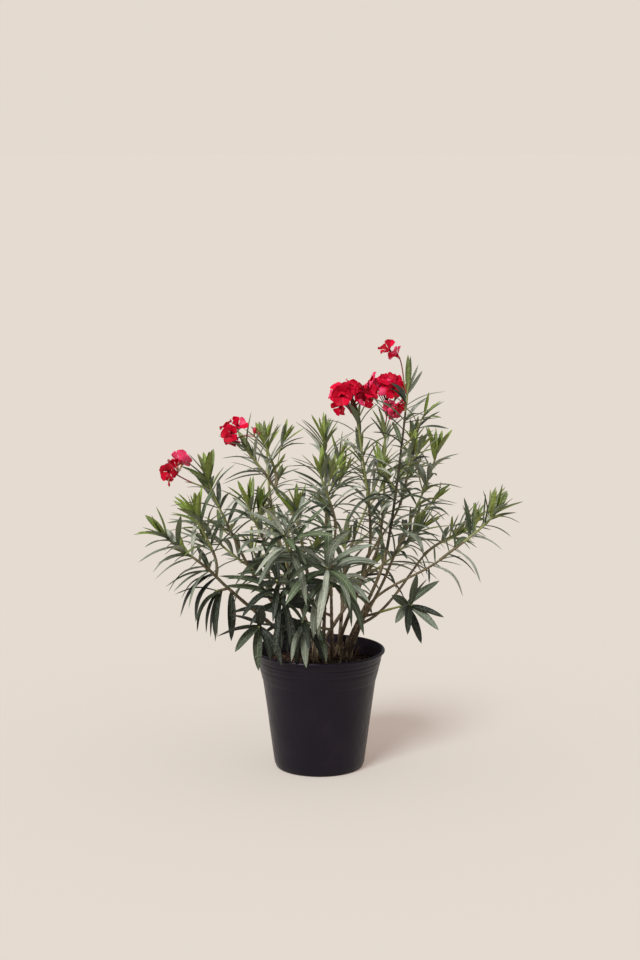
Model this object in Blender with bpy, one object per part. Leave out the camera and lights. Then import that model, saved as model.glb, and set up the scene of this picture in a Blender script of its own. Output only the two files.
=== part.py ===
"""Potted oleander: a plastic nursery pot, its soil, stems, boughs, leafy shoots and flower trusses.

Units are metres, +Z is up and the origin is the middle of the pot's underside.
A limb leaves its carrier (the soil, a stem or a bough) and leads to a place that is told as
on a planting plan: the bearing from the pot's axis in degrees (0 is +X, 90 is +Y), the reach
from that axis and the height over the ground. Leaves and side twigs follow a seeded rule.
"""

import math
import random
from collections import namedtuple

import bmesh
import bpy
from mathutils import Matrix, Vector
from mathutils.bvhtree import BVHTree

# ---------------------------------------------------------------- driving dimensions

CLEARANCE = 0.0003          # gap between neighbouring pieces
SPARE = 0.0005              # what a leaf is thickened by to test that it stands clear
UP = Vector((0.0, 0.0, 1.0))

POT_HEIGHT = 0.221
POT_RIM_RADIUS = 0.120
POT_BASE_RADIUS = 0.0815
POT_COLLAR_HEIGHT = 0.168   # where the flared collar starts
POT_COLLAR_RADIUS = 0.1045
POT_WALL = 0.0016
POT_FLOOR = 0.0022
POT_FOOT_ROUNDING = 0.0050
POT_LIP = 0.0030            # how far the rolled lip stands out, and half its height
POT_STEP = 0.0009           # depth of the steps in the collar
POT_STEP_SHARES = (0.42, 0.70)
POT_SIDES = 28

SOIL_LEVEL = 0.193

STEM_SIDES = 8
STEM_FLARE = 1.45           # the foot's radius over the stem's
STEM_TIP_RADIUS = 0.0027
BOUGH_SIDES = 6
BOUGH_TIP_RADIUS = 0.0022
TWIG_SIDES = 4
TWIG_TIP_RADIUS = 0.0013
SIDE_TWIG_SIDES = 3
SIDE_TWIG_RADIUS = 0.0016
RING_SPACING = 0.055        # between two rings of a limb
FOOT_RING_DISTANCE = 4.0    # of a limb's radius, from its foot to the next ring
FOOT_RING_SHARE = 0.4       # of the ring spacing, which that ring keeps within
LEAVING_ALONG = 0.6         # how far a limb leans along its carrier where it leaves
STEM_UPRIGHT = 0.15         # how far a stem is turned up where it leaves the soil

FORK_SHARES = (0.30, 0.72)  # where side twigs start, as a share of their shoot
FORK_LENGTHS = (0.30, 0.45) # of the shoot's length
FORK_BARE = 0.35            # the leafless share of a side twig
FORK_SIZE = 0.85            # its leaves, over the shoot's
FORK_ALONG = 0.72           # how far a side twig goes along its shoot,
FORK_OUTWARD = 0.70         # away from it
FORK_UPWARD = 0.2           # and up
FORK_RISE = 0.4             # how strongly it turns up towards its end
FORK_LEAVING_ALONG = 0.8    # how far it leans along its shoot where it leaves
FORK_TAPER = 0.8            # its tip over a shoot's tip, and its foot over the shoot there at most
LEAF_SWING = 0.2            # how far, in radians, a leaf may stand off its place in the whorl

LEAF_LENGTH = 0.118
LEAF_WIDTH = 0.138          # of its length
LEAF_THICKNESS = 0.014      # of its length
LEAF_FOLD = 0.22            # how far the edges rise over the midrib, of half the width
LEAF_MIDDLE = 0.46          # of its length, where it is widest and bends
PETIOLE_HALF_WIDTH = 0.0009
LEAVES_IN_A_WHORL = 3
WHORL_TIP_GAP = 0.012       # between the two youngest whorls
WHORL_GAP_GROWTH = 0.0100    # how much wider each further gap is
WHORL_FULL_GAP = 0.050
TIP_INSET = 0.003
TRIES = 5                   # places tried for a leaf before it is left out
LEAF_ROOT_SHARE = 0.07      # of a leaf, where it may meet its neighbours on the twig
LEAF_ROOT_OFFSET = 0.35     # of the twig's radius, from its axis to the leaf's root
WHORL_STAGGER = 0.0024      # along the twig, from one leaf of a whorl to the next
YOUNG_LENGTH = 0.40         # the youngest leaf's length over a grown one's
LENGTH_AGE = 1.5            # whorls over which leaves reach their length
YOUNG_SPREAD = 17           # degrees between the youngest leaf and its twig
SPREAD_GROWTH = 54          # how many degrees wider an old leaf stands
SPREAD_AGE = 2.6            # whorls over which leaves spread
ARCH = 46                   # degrees by which a grown leaf bends down
SHARPEST_BEND = 56          # degrees; a leaf that hangs lower turns down from its root
LEVELLING = 0.8             # how strongly a blade turns its upper side up

FLOWER_RADIUS = 0.0205
FLOWER_NOTCH = 0.66         # the reach between two petals, of the radius
FLOWER_TUBE = 0.013
PEDICEL_RADIUS = 0.0010
PEDUNCLE_RADIUS = 0.0016
BUD_LENGTH = 0.016
BUD_RADIUS = 0.0032
GOLDEN_TURN = 137.5         # degrees from one flower of a truss to the next
FLOWER_TO_FRONT = 0.25      # how far the flowers turn to -Y

SEED = 41

# ---------------------------------------------------------------- the plant's plan

Place = namedtuple("Place", "bearing reach height")
Limb = namedtuple("Limb", "name carrier share place rise radius")
Shoot = namedtuple("Shoot", "name carrier share place rise bare forks age size droop")
Truss = namedtuple("Truss", "name carrier share place spread flowers buds")

# carrier and share: what a limb starts on, and how far along it, 1 at the tip. A stem's carrier
# is the bearing and reach of its foot. rise: how strongly the limb turns up towards its end,
# below 0 where it hangs. radius: at the limb's foot.
STEMS = (
    Limb("stem_right", (42, 0.074), 0, Place(25, 0.094, 0.284), 0.1, 0.0047),
    Limb("stem_right_high", (55, 0.082), 0, Place(31, 0.148, 0.350), 0.3, 0.0040),
    Limb("stem_tall_right", (40, 0.054), 0, Place(0, 0.123, 0.408), 0.9, 0.0042),
    Limb("stem_tall_mid", (62, 0.060), 0, Place(21, 0.099, 0.401), 0.9, 0.0040),
    Limb("stem_back_mid", (92, 0.082), 0, Place(52, 0.175, 0.375), 0.5, 0.0039),
    Limb("stem_mid", (80, 0.036), 0, Place(65, 0.030, 0.380), 0.2, 0.0039),
    Limb("stem_left_high", (60, 0.014), 0, Place(-164, 0.037, 0.443), 0.1, 0.0042),
    Limb("stem_left", (115, 0.040), 0, Place(-172, 0.145, 0.408), 0.3, 0.0044),
    Limb("stem_left_low", (150, 0.018), 0, Place(-157, 0.209, 0.380), 0.1, 0.0045),
    Limb("stem_front", (10, 0.024), 0, Place(-70, 0.062, 0.335), 0.1, 0.0041),
    Limb("stem_back_left", (94, 0.060), 0, Place(118, 0.125, 0.350), 0.2, 0.0041),
    Limb("stem_back_right", (66, 0.088), 0, Place(72, 0.156, 0.335), 0.2, 0.0040),
)

BOUGHS = (
    Limb("bough_right_low", "stem_right", 1, Place(-1, 0.221, 0.388), 0.1, 0.0034),
    Limb("bough_right_mid", "stem_right", 0.72, Place(20, 0.207, 0.382), 0.1, 0.0030),
    Limb("bough_back_side", "stem_back_mid", 0.80, Place(48, 0.228, 0.460), 0.5, 0.0026),
    Limb("bough_mid_front", "stem_mid", 0.55, Place(-62, 0.062, 0.457), 0.5, 0.0026),
    Limb("bough_left_high", "stem_left_high", 1, Place(-167, 0.088, 0.530), 0.1, 0.0027),
    Limb("bough_left_front", "stem_left", 0.62, Place(-137, 0.130, 0.425), 0.4, 0.0027),
    Limb("bough_front_left", "stem_front", 0.70, Place(-113, 0.112, 0.400), 0.2, 0.0027),
    Limb("bough_back_left", "stem_back_left", 1, Place(122, 0.165, 0.440), 0.3, 0.0027),
    Limb("bough_back_high", "stem_back_right", 0.70, Place(84, 0.170, 0.440), 0.4, 0.0026),
)

# bare: the leafless share of the shoot at its foot. forks: its side twigs. age: how many whorls
# grown its tip is, 0 for a young one. size and droop: of its leaves.
SHOOTS = (
    Shoot("foliage_right_low", "bough_right_low", 1, Place(-5, 0.325, 0.486), 0.4, 0.0, 1, 0, 0.84, 0.9),
    Shoot("foliage_right_mid", "bough_right_mid", 1, Place(19, 0.303, 0.440), 0.3, 0.0, 1, 0, 0.74, 0.9),
    Shoot("foliage_right_high", "stem_right_high", 1, Place(29, 0.251, 0.570), 0.6, 0.0, 1, 0, 0.94, 1.1),
    Shoot("foliage_tall_right", "stem_tall_right", 1, Place(-4, 0.160, 0.712), 0.2, 0.0, 1, 0, 0.92, 0.8),
    Shoot("foliage_tall_mid", "stem_tall_mid", 1, Place(17, 0.072, 0.648), 0.2, 0.0, 1, 0, 0.95, 0.9),
    Shoot("foliage_back_mid", "stem_back_mid", 1, Place(49, 0.187, 0.606), 0.4, 0.1, 1, 0, 0.90, 0.9),
    Shoot("foliage_back_side", "bough_back_side", 1, Place(45, 0.254, 0.585), 0.4, 0.0, 0, 0, 0.85, 0.9),
    Shoot("foliage_mid", "stem_mid", 1, Place(51, 0.013, 0.610), 0.3, 0.0, 1, 0, 0.92, 0.8),
    Shoot("foliage_mid_front", "bough_mid_front", 1, Place(-90, 0.075, 0.563), 0.3, 0.0, 1, 0, 0.88, 0.8),
    Shoot("foliage_left_high", "bough_left_high", 1, Place(-167, 0.143, 0.608), 0.3, 0.0, 0, 0, 0.85, 0.7),
    Shoot("foliage_left_inner", "bough_left_high", 0.90, Place(-177, 0.098, 0.605),
          0.7, 0.15, 0, 0, 0.88, 0.7),
    Shoot("foliage_left", "stem_left", 1, Place(-172, 0.206, 0.553), 0.7, 0.1, 1, 0, 0.90, 0.8),
    Shoot("foliage_left_low", "stem_left_low", 1, Place(-159, 0.300, 0.457), 0.2, 0.0, 0, 0, 0.90, 1.1),
    Shoot("foliage_left_low_upper", "stem_left_low", 0.96, Place(-159, 0.235, 0.490),
          0.7, 0.15, 0, 0, 0.94, 0.9),
    Shoot("foliage_left_hanging", "stem_left_low", 0.84, Place(-156, 0.206, 0.343),
          -0.6, 0.1, 0, 2, 0.92, 3.2),
    Shoot("foliage_left_front", "bough_left_front", 1, Place(-137, 0.174, 0.514), 0.5, 0.0, 1, 0, 0.92, 0.9),
    Shoot("foliage_low_left", "stem_left", 0.30, Place(-132, 0.098, 0.322), -0.4, 0.3, 0, 2, 0.95, 1.8),
    Shoot("foliage_left_inside", "stem_left", 0.45, Place(-120, 0.150, 0.375), 0.1, 0.35, 0, 1, 1.0, 1.3),
    Shoot("foliage_front_left", "bough_front_left", 1, Place(-108, 0.200, 0.470), 0.3, 0.0, 1, 1, 1.0, 1.1),
    Shoot("foliage_front", "stem_front", 1, Place(-85, 0.158, 0.404), 0.2, 0.2, 0, 2, 1.0, 2.0),
    Shoot("foliage_front_high", "stem_left_high", 0.60, Place(-112, 0.110, 0.505),
          0.5, 0.25, 0, 0, 0.95, 1.0),
    Shoot("foliage_pot_front", "stem_front", 0.50, Place(-108, 0.100, 0.292), 0.0, 0.4, 0, 3, 0.78, 2.0),
    Shoot("foliage_pot_left", "stem_left_low", 0.50, Place(-137, 0.147, 0.284), -0.3, 0.55, 0, 4, 0.72, 0.7),
    Shoot("foliage_pot_right", "stem_right", 0.88, Place(-26, 0.184, 0.320), -0.1, 0.78, 0, 4, 0.66, 0.4),
    Shoot("foliage_back_left_high", "bough_back_left", 1, Place(120, 0.200, 0.575),
          0.4, 0.0, 1, 0, 0.94, 0.9),
    Shoot("foliage_back_left_low", "stem_back_left", 0.80, Place(150, 0.270, 0.440),
          0.4, 0.2, 0, 0, 0.98, 1.1),
    Shoot("foliage_back_low", "stem_back_left", 0.62, Place(110, 0.270, 0.400), 0.4, 0.2, 1, 0, 0.98, 1.1),
    Shoot("foliage_back_high", "bough_back_high", 1, Place(88, 0.205, 0.585), 0.4, 0.0, 1, 0, 0.94, 0.9),
    Shoot("foliage_back_right_high", "stem_back_right", 1, Place(63, 0.265, 0.530),
          0.5, 0.1, 1, 0, 0.92, 0.9),
    Shoot("foliage_back_right_low", "stem_back_right", 0.80, Place(46, 0.285, 0.410),
          0.3, 0.2, 0, 0, 0.98, 1.1),
    Shoot("foliage_back_low_right", "stem_back_right", 0.52, Place(80, 0.290, 0.365),
          0.3, 0.25, 0, 0, 0.98, 1.1),
)

TRUSSES = (
    Truss("blossom_top", "foliage_tall_right", 0.95, Place(-9, 0.126, 0.773), 0.013, 2, 1),
    Truss("blossom_tall_mid", "foliage_tall_mid", 1, Place(15, 0.059, 0.680), 0.030, 6, 2),
    Truss("blossom_back_mid", "foliage_back_mid", 1, Place(45, 0.176, 0.664), 0.038, 8, 2),
    Truss("blossom_left_high", "foliage_left_high", 0.80, Place(-167, 0.158, 0.626), 0.017, 4, 2),
    Truss("blossom_left", "foliage_left", 0.80, Place(-172, 0.257, 0.564), 0.018, 3, 2),
)

# ---------------------------------------------------------------- solids as points and faces


class Solid:
    """Points and the faces that join them, before they become a mesh."""

    def __init__(self):
        self.points = []
        self.faces = []

    def ring(self, points):
        """Adds points and gives their numbers."""
        first = len(self.points)
        self.points.extend(points)
        return list(range(first, len(self.points)))

    def band(self, lower, upper):
        """Joins two rings of equal count by quads."""
        count = len(lower)
        for i in range(count):
            j = (i + 1) % count
            self.faces.append((lower[i], lower[j], upper[j], upper[i]))

    def fan(self, ring, tip):
        """Closes a ring on one point."""
        count = len(ring)
        for i in range(count):
            self.faces.append((ring[i], ring[(i + 1) % count], tip))

    def cap(self, ring):
        self.faces.append(tuple(ring))

    def add(self, other):
        first = len(self.points)
        self.points.extend(other.points)
        self.faces.extend(tuple(first + i for i in face) for face in other.faces)


def mesh_object(name, solid, material):
    """An object made from a Solid, its faces turned outward."""
    mesh = bpy.data.meshes.new(name)
    mesh.from_pydata([tuple(point) for point in solid.points], [], solid.faces)
    shape = bmesh.new()
    shape.from_mesh(mesh)
    bmesh.ops.recalc_face_normals(shape, faces=shape.faces)
    shape.to_mesh(mesh)
    shape.free()
    mesh.materials.append(material)
    obj = bpy.data.objects.new(name, mesh)
    bpy.context.scene.collection.objects.link(obj)
    return obj


def at_place(place):
    turn = math.radians(place.bearing)
    return Vector((place.reach * math.cos(turn), place.reach * math.sin(turn), place.height))


def across(direction, axis):
    """The part of a direction that is square to an axis, one unit long."""
    rest = direction - axis * direction.dot(axis)
    if rest.length < 1e-6:
        rest = axis.orthogonal()
    return rest.normalized()


# ---------------------------------------------------------------- limbs

Path = namedtuple("Path", "points tangents radii foot_normal")


def bezier(controls, t):
    a, b, c, d = controls
    s = 1.0 - t
    return a * s**3 + b * (3 * s * s * t) + c * (3 * s * t * t) + d * t**3


def bezier_tangent(controls, t):
    a, b, c, d = controls
    s = 1.0 - t
    return ((b - a) * (s * s) + (c - b) * (2 * s * t) + (d - c) * (t * t)).normalized()


def limb_path(start, leaving, foot_normal, end, rise, radii):
    """A limb's centre line: it leaves one way, ends turned up by rise, and tapers evenly."""
    chord = end - start
    reach = chord.length / 3.0
    arriving = (chord.normalized() + UP * rise).normalized()
    controls = (start, start + leaving.normalized() * reach, end - arriving * reach, end)
    count = max(2, round(chord.length / RING_SPACING))
    near_foot = min(FOOT_RING_SHARE / count, FOOT_RING_DISTANCE * radii[0] / chord.length)
    shares = [0.0, near_foot] + [i / count for i in range(1, count + 1)]
    points = [bezier(controls, share) for share in shares]
    tangents = [bezier_tangent(controls, share) for share in shares]
    taper = [radii[0] + (radii[1] - radii[0]) * share for share in shares]
    return Path(points, tangents, taper, foot_normal)


def along(path, share):
    """The point, tangent and radius at a share of a path's length."""
    steps = [(b - a).length for a, b in zip(path.points, path.points[1:])]
    left = share * sum(steps)
    for i, step in enumerate(steps):
        if left <= step or i == len(steps) - 1:
            t = min(left / step, 1.0)
            point = path.points[i].lerp(path.points[i + 1], t)
            tangent = path.tangents[i].lerp(path.tangents[i + 1], t).normalized()
            return point, tangent, path.radii[i] + (path.radii[i + 1] - path.radii[i]) * t
        left -= step


def path_length(path):
    return sum((b - a).length for a, b in zip(path.points, path.points[1:]))


def start_on(carrier, share, end):
    """Where a limb starts on its carrier, which way it leaves, and how its foot is cut."""
    point, tangent, radius = along(carrier, share)
    if share >= 1:
        start = point + tangent * CLEARANCE
        return start, tangent + (end - point).normalized() * LEAVING_ALONG, tangent
    outward = across(end - point, tangent)
    start = point + outward * (radius + CLEARANCE)
    return start, outward + tangent * LEAVING_ALONG, outward


def tube(path, sides, foot_radii=None):
    """A closed tapering tube. Its first ring lies square to the path's foot normal."""
    solid = Solid()
    side = path.foot_normal.orthogonal().normalized()
    rings = []
    for i, (point, tangent, radius) in enumerate(zip(path.points, path.tangents, path.radii)):
        normal = path.foot_normal if i == 0 else tangent
        side = across(side, normal)
        other = normal.cross(side)
        if foot_radii and i < len(foot_radii):
            radius = foot_radii[i]
        turns = [2 * math.pi * k / sides for k in range(sides)]
        rings.append(solid.ring([point + (side * math.cos(a) + other * math.sin(a)) * radius for a in turns]))
    for lower, upper in zip(rings, rings[1:]):
        solid.band(lower, upper)
    solid.cap(rings[0])
    solid.cap(rings[-1])
    return solid


def stem_path(stem):
    """A stem stands on the soil with a flat cut, and leaves it between upright and its own lean."""
    bearing, reach = stem.carrier
    foot = at_place(Place(bearing, reach, SOIL_LEVEL + CLEARANCE))
    end = at_place(stem.place)
    leaving = (end - foot).normalized() + UP * STEM_UPRIGHT
    return limb_path(foot, leaving, UP, end, stem.rise, (stem.radius, STEM_TIP_RADIUS))


# ---------------------------------------------------------------- leaves and blossom

Leaf = namedtuple("Leaf", "root forward side length droop")


def bend_down(forward, side, angle):
    """Turns a leaf's direction towards the ground by an angle, never past straight down."""
    room = forward.angle(-UP, 0.0)
    axis = forward.cross(-UP)
    if room < 0.02 or axis.length < 1e-6 or angle <= 0:
        return forward, side
    turn = Matrix.Rotation(min(angle, room * 0.9), 3, axis.normalized())
    return (turn @ forward).normalized(), (turn @ side).normalized()


def leaf_solid(leaf, spare=0.0, from_share=0.0):
    """A lance-shaped blade of flat faces with a keel below, its root ring sunk in the twig.

    Its rings are mitred to the bend at its middle. Spare makes it larger all round and
    from_share leaves its root out, both to test that it stands clear."""
    half_width = leaf.length * LEAF_WIDTH / 2
    solid = Solid()

    mitred, side = bend_down(leaf.forward, leaf.side, leaf.droop / 2)
    normal = side.cross(mitred).normalized()

    def section(centre, scale):
        edge = side * (half_width * scale + spare)
        rise = normal * (half_width * LEAF_FOLD * scale + spare)
        keel = normal * (leaf.length * LEAF_THICKNESS * scale + spare)
        return solid.ring([centre + edge + rise, centre - edge + rise, centre - keel])

    root_scale = PETIOLE_HALF_WIDTH / half_width
    root_scale += (1 - root_scale) * from_share / LEAF_MIDDLE
    first = section(leaf.root + leaf.forward * (leaf.length * from_share), root_scale)
    middle = leaf.root + leaf.forward * (leaf.length * LEAF_MIDDLE)
    widest = section(middle, 1.0)
    onward = bend_down(leaf.forward, leaf.side, leaf.droop)[0]
    tip = solid.ring([middle + onward * (leaf.length * (1 - LEAF_MIDDLE) + spare)])[0]
    solid.cap(first)
    solid.band(first, widest)
    solid.fan(widest, tip)
    return solid


def whorl_distances(leafy):
    """How far from a shoot's tip each whorl stands."""
    distance, number = TIP_INSET, 0
    while distance < leafy:
        yield number, distance
        distance += min(WHORL_TIP_GAP + WHORL_GAP_GROWTH * number, WHORL_FULL_GAP)
        number += 1


def whorl_leaf(rng, path, share, age, turn, size, droop):
    """One leaf of a whorl: upright, short and straight at the tip, spread and arched further down."""
    point, tangent, radius = along(path, share)
    grown = 1.0 - math.exp(-age / LENGTH_AGE)
    length = LEAF_LENGTH * size * (YOUNG_LENGTH + (1 - YOUNG_LENGTH) * grown) * rng.uniform(0.88, 1.08)
    spread = YOUNG_SPREAD + SPREAD_GROWTH * (1.0 - math.exp(-age / SPREAD_AGE)) + rng.uniform(-7, 7)
    spread = math.radians(spread)
    first = across(UP, tangent) if abs(tangent.z) < 0.95 else across(Vector((1, 0, 0)), tangent)
    second = tangent.cross(first)
    outward = first * math.cos(turn) + second * math.sin(turn)
    forward = (tangent * math.cos(spread) + outward * math.sin(spread)).normalized()
    side = forward.cross(tangent).normalized()
    level = forward.cross(UP)
    if level.length > 0.2:
        level.normalize()
        side = (side + level * (LEVELLING if side.dot(level) > 0 else -LEVELLING)).normalized()
        side = across(side, forward)
    bend = math.radians(ARCH) * droop * grown * rng.uniform(0.5, 1.4)
    sharpest = math.radians(SHARPEST_BEND)
    if bend > sharpest:
        forward, side = bend_down(forward, side, bend - sharpest)
        bend = sharpest
    return Leaf(point + outward * (radius * LEAF_ROOT_OFFSET), forward, side, length, bend)


def flower_solid(centre, facing, rng):
    """A five-petalled funnel: a notched rim, a sunken throat and a tapering tube behind it."""
    solid = Solid()
    first = facing.orthogonal().normalized()
    second = facing.cross(first)
    start = rng.uniform(0, 2 * math.pi)
    rim = []
    for petal in range(5):
        for offset, reach in ((0.0, 1.0), (0.5, FLOWER_NOTCH)):
            a = start + (petal + offset) * 2 * math.pi / 5
            rim.append(centre + (first * math.cos(a) + second * math.sin(a)) * (FLOWER_RADIUS * reach))
    ring = solid.ring(rim)
    throat = solid.ring([centre - facing * (FLOWER_RADIUS * 0.22)])[0]
    tail = solid.ring([centre - facing * FLOWER_TUBE])[0]
    solid.fan(ring, throat)
    solid.fan(ring[::-1], tail)
    return solid


def bud_solid(root, facing):
    """A spindle with its root end sunk in its stalk."""
    solid = Solid()
    first = facing.orthogonal().normalized()
    second = facing.cross(first)
    middle = root + facing * (BUD_LENGTH * 0.6)
    ring = solid.ring([middle + first * BUD_RADIUS, middle + second * BUD_RADIUS,
                       middle - first * BUD_RADIUS, middle - second * BUD_RADIUS])
    solid.fan(ring, solid.ring([root + facing * BUD_LENGTH])[0])
    solid.fan(ring[::-1], solid.ring([root - facing * 0.002])[0])
    return solid


def rod(start, end, radius, end_radius=None):
    """A straight three-sided stalk."""
    tangent = (end - start).normalized()
    path = Path([start, end], [tangent, tangent], [radius, end_radius or radius], tangent)
    return tube(path, SIDE_TWIG_SIDES)


def dome(count, number):
    """Directions spread evenly over the upper part of a ball."""
    height = 0.95 - 1.15 * (number + 0.5) / count
    out = math.sqrt(max(0.0, 1.0 - height * height))
    turn = number * math.radians(GOLDEN_TURN)
    return Vector((out * math.cos(turn), out * math.sin(turn), height)).normalized()


def truss_solids(truss, path, rng):
    """The stalk of a truss first, then its pedicels, flowers and buds."""
    centre = at_place(truss.place)
    start, leaving, foot_normal = start_on(path, truss.share, centre)
    crotch = centre - UP * (truss.spread * 0.9)
    carrier_radius = along(path, truss.share)[2]
    radius = min(PEDUNCLE_RADIUS, carrier_radius)
    stalk = limb_path(start, leaving, foot_normal, crotch, 0.2, (radius, radius * 0.8))
    solids = [tube(stalk, TWIG_SIDES)]
    for number in range(truss.flowers):
        facing = dome(truss.flowers, number)
        facing = (facing + Vector((0.0, -FLOWER_TO_FRONT, 0.0))).normalized()
        face = centre + facing * (truss.spread * rng.uniform(0.85, 1.15))
        solids.append(flower_solid(face, facing, rng))
        solids.append(rod(crotch - UP * 0.001, face - facing * (FLOWER_TUBE * 0.75), PEDICEL_RADIUS))
    for number in range(truss.buds):
        turn = math.radians(GOLDEN_TURN) * number + 0.6
        facing = Vector((math.cos(turn) * 0.6, math.sin(turn) * 0.6, 1.0)).normalized()
        root = crotch + facing * (truss.spread * 0.75 + 0.004)
        solids.append(rod(crotch - UP * 0.001, root + facing * 0.003, PEDICEL_RADIUS * 0.9))
        solids.append(bud_solid(root, facing))
    return solids


# ---------------------------------------------------------------- keeping clear


class Space:
    """What already stands, node by node, for testing that new growth keeps clear of it."""

    def __init__(self):
        self.solids = {}
        self.trees = {}

    def add(self, node, solid):
        self.solids.setdefault(node, Solid()).add(solid)
        self.trees[node] = tree_of(self.solids[node])

    def touched(self, solid, own):
        """The nodes that a solid touches, other than its own."""
        tree = tree_of(solid)
        return [node for node, other in self.trees.items() if node != own and tree.overlap(other)]


def tree_of(solid):
    return BVHTree.FromPolygons([tuple(p) for p in solid.points], solid.faces)


def grow_shoot(shoot, path, rng, space):
    """The side twigs and leaves of a shoot, each left out if it would touch another node.

    A leaf's blade keeps off the shoot's other blades too."""
    solids = []
    blades = Space()
    twigs = [(path, path_length(path), shoot.bare, shoot.size)]
    for number in range(shoot.forks):
        share = rng.uniform(*FORK_SHARES)
        turn = rng.uniform(0, 2 * math.pi)
        length = path_length(path) * rng.uniform(*FORK_LENGTHS)
        point, tangent, radius = along(path, share)
        first = tangent.orthogonal().normalized()
        outward = first * math.cos(turn) + tangent.cross(first) * math.sin(turn)
        heading = tangent * FORK_ALONG + outward * FORK_OUTWARD + UP * FORK_UPWARD
        end = point + heading.normalized() * length
        leaving = outward + tangent * FORK_LEAVING_ALONG
        radii = (min(SIDE_TWIG_RADIUS, radius * FORK_TAPER), TWIG_TIP_RADIUS * FORK_TAPER)
        side = limb_path(point, leaving, leaving.normalized(), end, FORK_RISE, radii)
        twig = tube(side, SIDE_TWIG_SIDES)
        if space.touched(twig, shoot.name):
            continue
        solids.append(twig)
        twigs.append((side, length, FORK_BARE, shoot.size * FORK_SIZE))
    for twig_path, length, bare, size in twigs:
        phase = rng.uniform(0, 2 * math.pi)
        for number, distance in whorl_distances(length * (1 - bare) - 0.008):
            for leaf_number in range(LEAVES_IN_A_WHORL):
                share = 1 - (distance + leaf_number * WHORL_STAGGER) / length
                turn = phase + number * math.pi / 3 + leaf_number * 2 * math.pi / LEAVES_IN_A_WHORL
                for attempt in range(TRIES):
                    swing = rng.uniform(-LEAF_SWING, LEAF_SWING) * (1 + 1.5 * attempt)
                    leaf = whorl_leaf(
                        rng, twig_path, share, number + shoot.age, turn + swing, size, shoot.droop)
                    blade = leaf_solid(leaf, from_share=LEAF_ROOT_SHARE)
                    if blades.touched(blade, None) or space.touched(leaf_solid(leaf, SPARE), shoot.name):
                        continue
                    blades.add(f"blade_{len(solids)}", blade)
                    solids.append(leaf_solid(leaf))
                    break
    return solids


# ---------------------------------------------------------------- joining


def joined(name, solids, material):
    """One closed body: the first solid united with all the others in one Boolean."""
    obj = mesh_object(name, solids[0], material)
    parts = bpy.data.collections.new(name + "_parts")
    bpy.context.scene.collection.children.link(parts)
    for number, solid in enumerate(solids[1:]):
        part = mesh_object(f"{name}_part_{number}", solid, material)
        bpy.context.scene.collection.objects.unlink(part)
        parts.objects.link(part)
    union = obj.modifiers.new("join", "BOOLEAN")
    union.operation = "UNION"
    union.operand_type = "COLLECTION"
    union.collection = parts
    for solver in ("EXACT", "MANIFOLD"):
        union.solver = solver
        bpy.context.view_layer.update()
        graph = bpy.context.evaluated_depsgraph_get()
        result = bpy.data.meshes.new_from_object(obj.evaluated_get(graph))
        if keep_body(result):
            break
    obj.modifiers.remove(union)
    obj.data = result
    for part in list(parts.objects):
        bpy.data.objects.remove(part)
    bpy.data.collections.remove(parts)
    return obj


def keep_body(mesh):
    """Drops all but the largest body, which fills sealed hollows and removes loose scraps.

    It gives whether that body is closed."""
    shape = bmesh.new()
    shape.from_mesh(mesh)
    bmesh.ops.triangulate(shape, faces=shape.faces)
    bmesh.ops.dissolve_degenerate(shape, dist=1e-6, edges=shape.edges)
    bodies, seen = [], set()
    for face in shape.faces:
        if face in seen:
            continue
        body, waiting = [], [face]
        seen.add(face)
        while waiting:
            current = waiting.pop()
            body.append(current)
            for edge in current.edges:
                for neighbour in edge.link_faces:
                    if neighbour not in seen:
                        seen.add(neighbour)
                        waiting.append(neighbour)
        bodies.append(body)
    largest = max(bodies, key=len)
    spare = [face for body in bodies if body is not largest for face in body]
    bmesh.ops.delete(shape, geom=spare, context="FACES")
    closed = all(len(edge.link_faces) == 2 for edge in shape.edges)
    shape.to_mesh(mesh)
    shape.free()
    return closed


# ---------------------------------------------------------------- pot and soil


def turned(name, profile, material):
    """A solid turned from a closed outline of (radius, height) points; radius 0 lies on the axis."""
    solid = Solid()
    turns = [2 * math.pi * k / POT_SIDES for k in range(POT_SIDES)]
    rings = []
    for radius, height in profile:
        if radius == 0:
            rings.append(solid.ring([Vector((0, 0, height))]))
        else:
            rings.append(solid.ring(
                [Vector((radius * math.cos(a), radius * math.sin(a), height)) for a in turns]))
    for lower, upper in zip(rings, rings[1:]):
        if len(lower) == 1:
            solid.fan(upper, lower[0])
        elif len(upper) == 1:
            solid.fan(lower, upper[0])
        else:
            solid.band(lower, upper)
    obj = mesh_object(name, solid, material)
    obj.data.shade_smooth()
    obj.data.set_sharp_from_angle(angle=math.radians(32))
    return obj


def wall_radius(height):
    """The outside of the pot's plain wall at a height, without the collar's steps."""
    if height < POT_COLLAR_HEIGHT:
        return POT_BASE_RADIUS + (POT_COLLAR_RADIUS - POT_BASE_RADIUS) * height / POT_COLLAR_HEIGHT
    share = (height - POT_COLLAR_HEIGHT) / (POT_HEIGHT - POT_COLLAR_HEIGHT)
    return POT_COLLAR_RADIUS + (POT_RIM_RADIUS - POT_LIP - POT_COLLAR_RADIUS) * share


def inner_radius(height):
    """The inside of the pot's wall at a height; the collar is a little wider than the body."""
    if height > POT_COLLAR_HEIGHT:
        return wall_radius(height) - POT_WALL
    return wall_radius(height) - POT_STEP - POT_WALL


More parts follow.
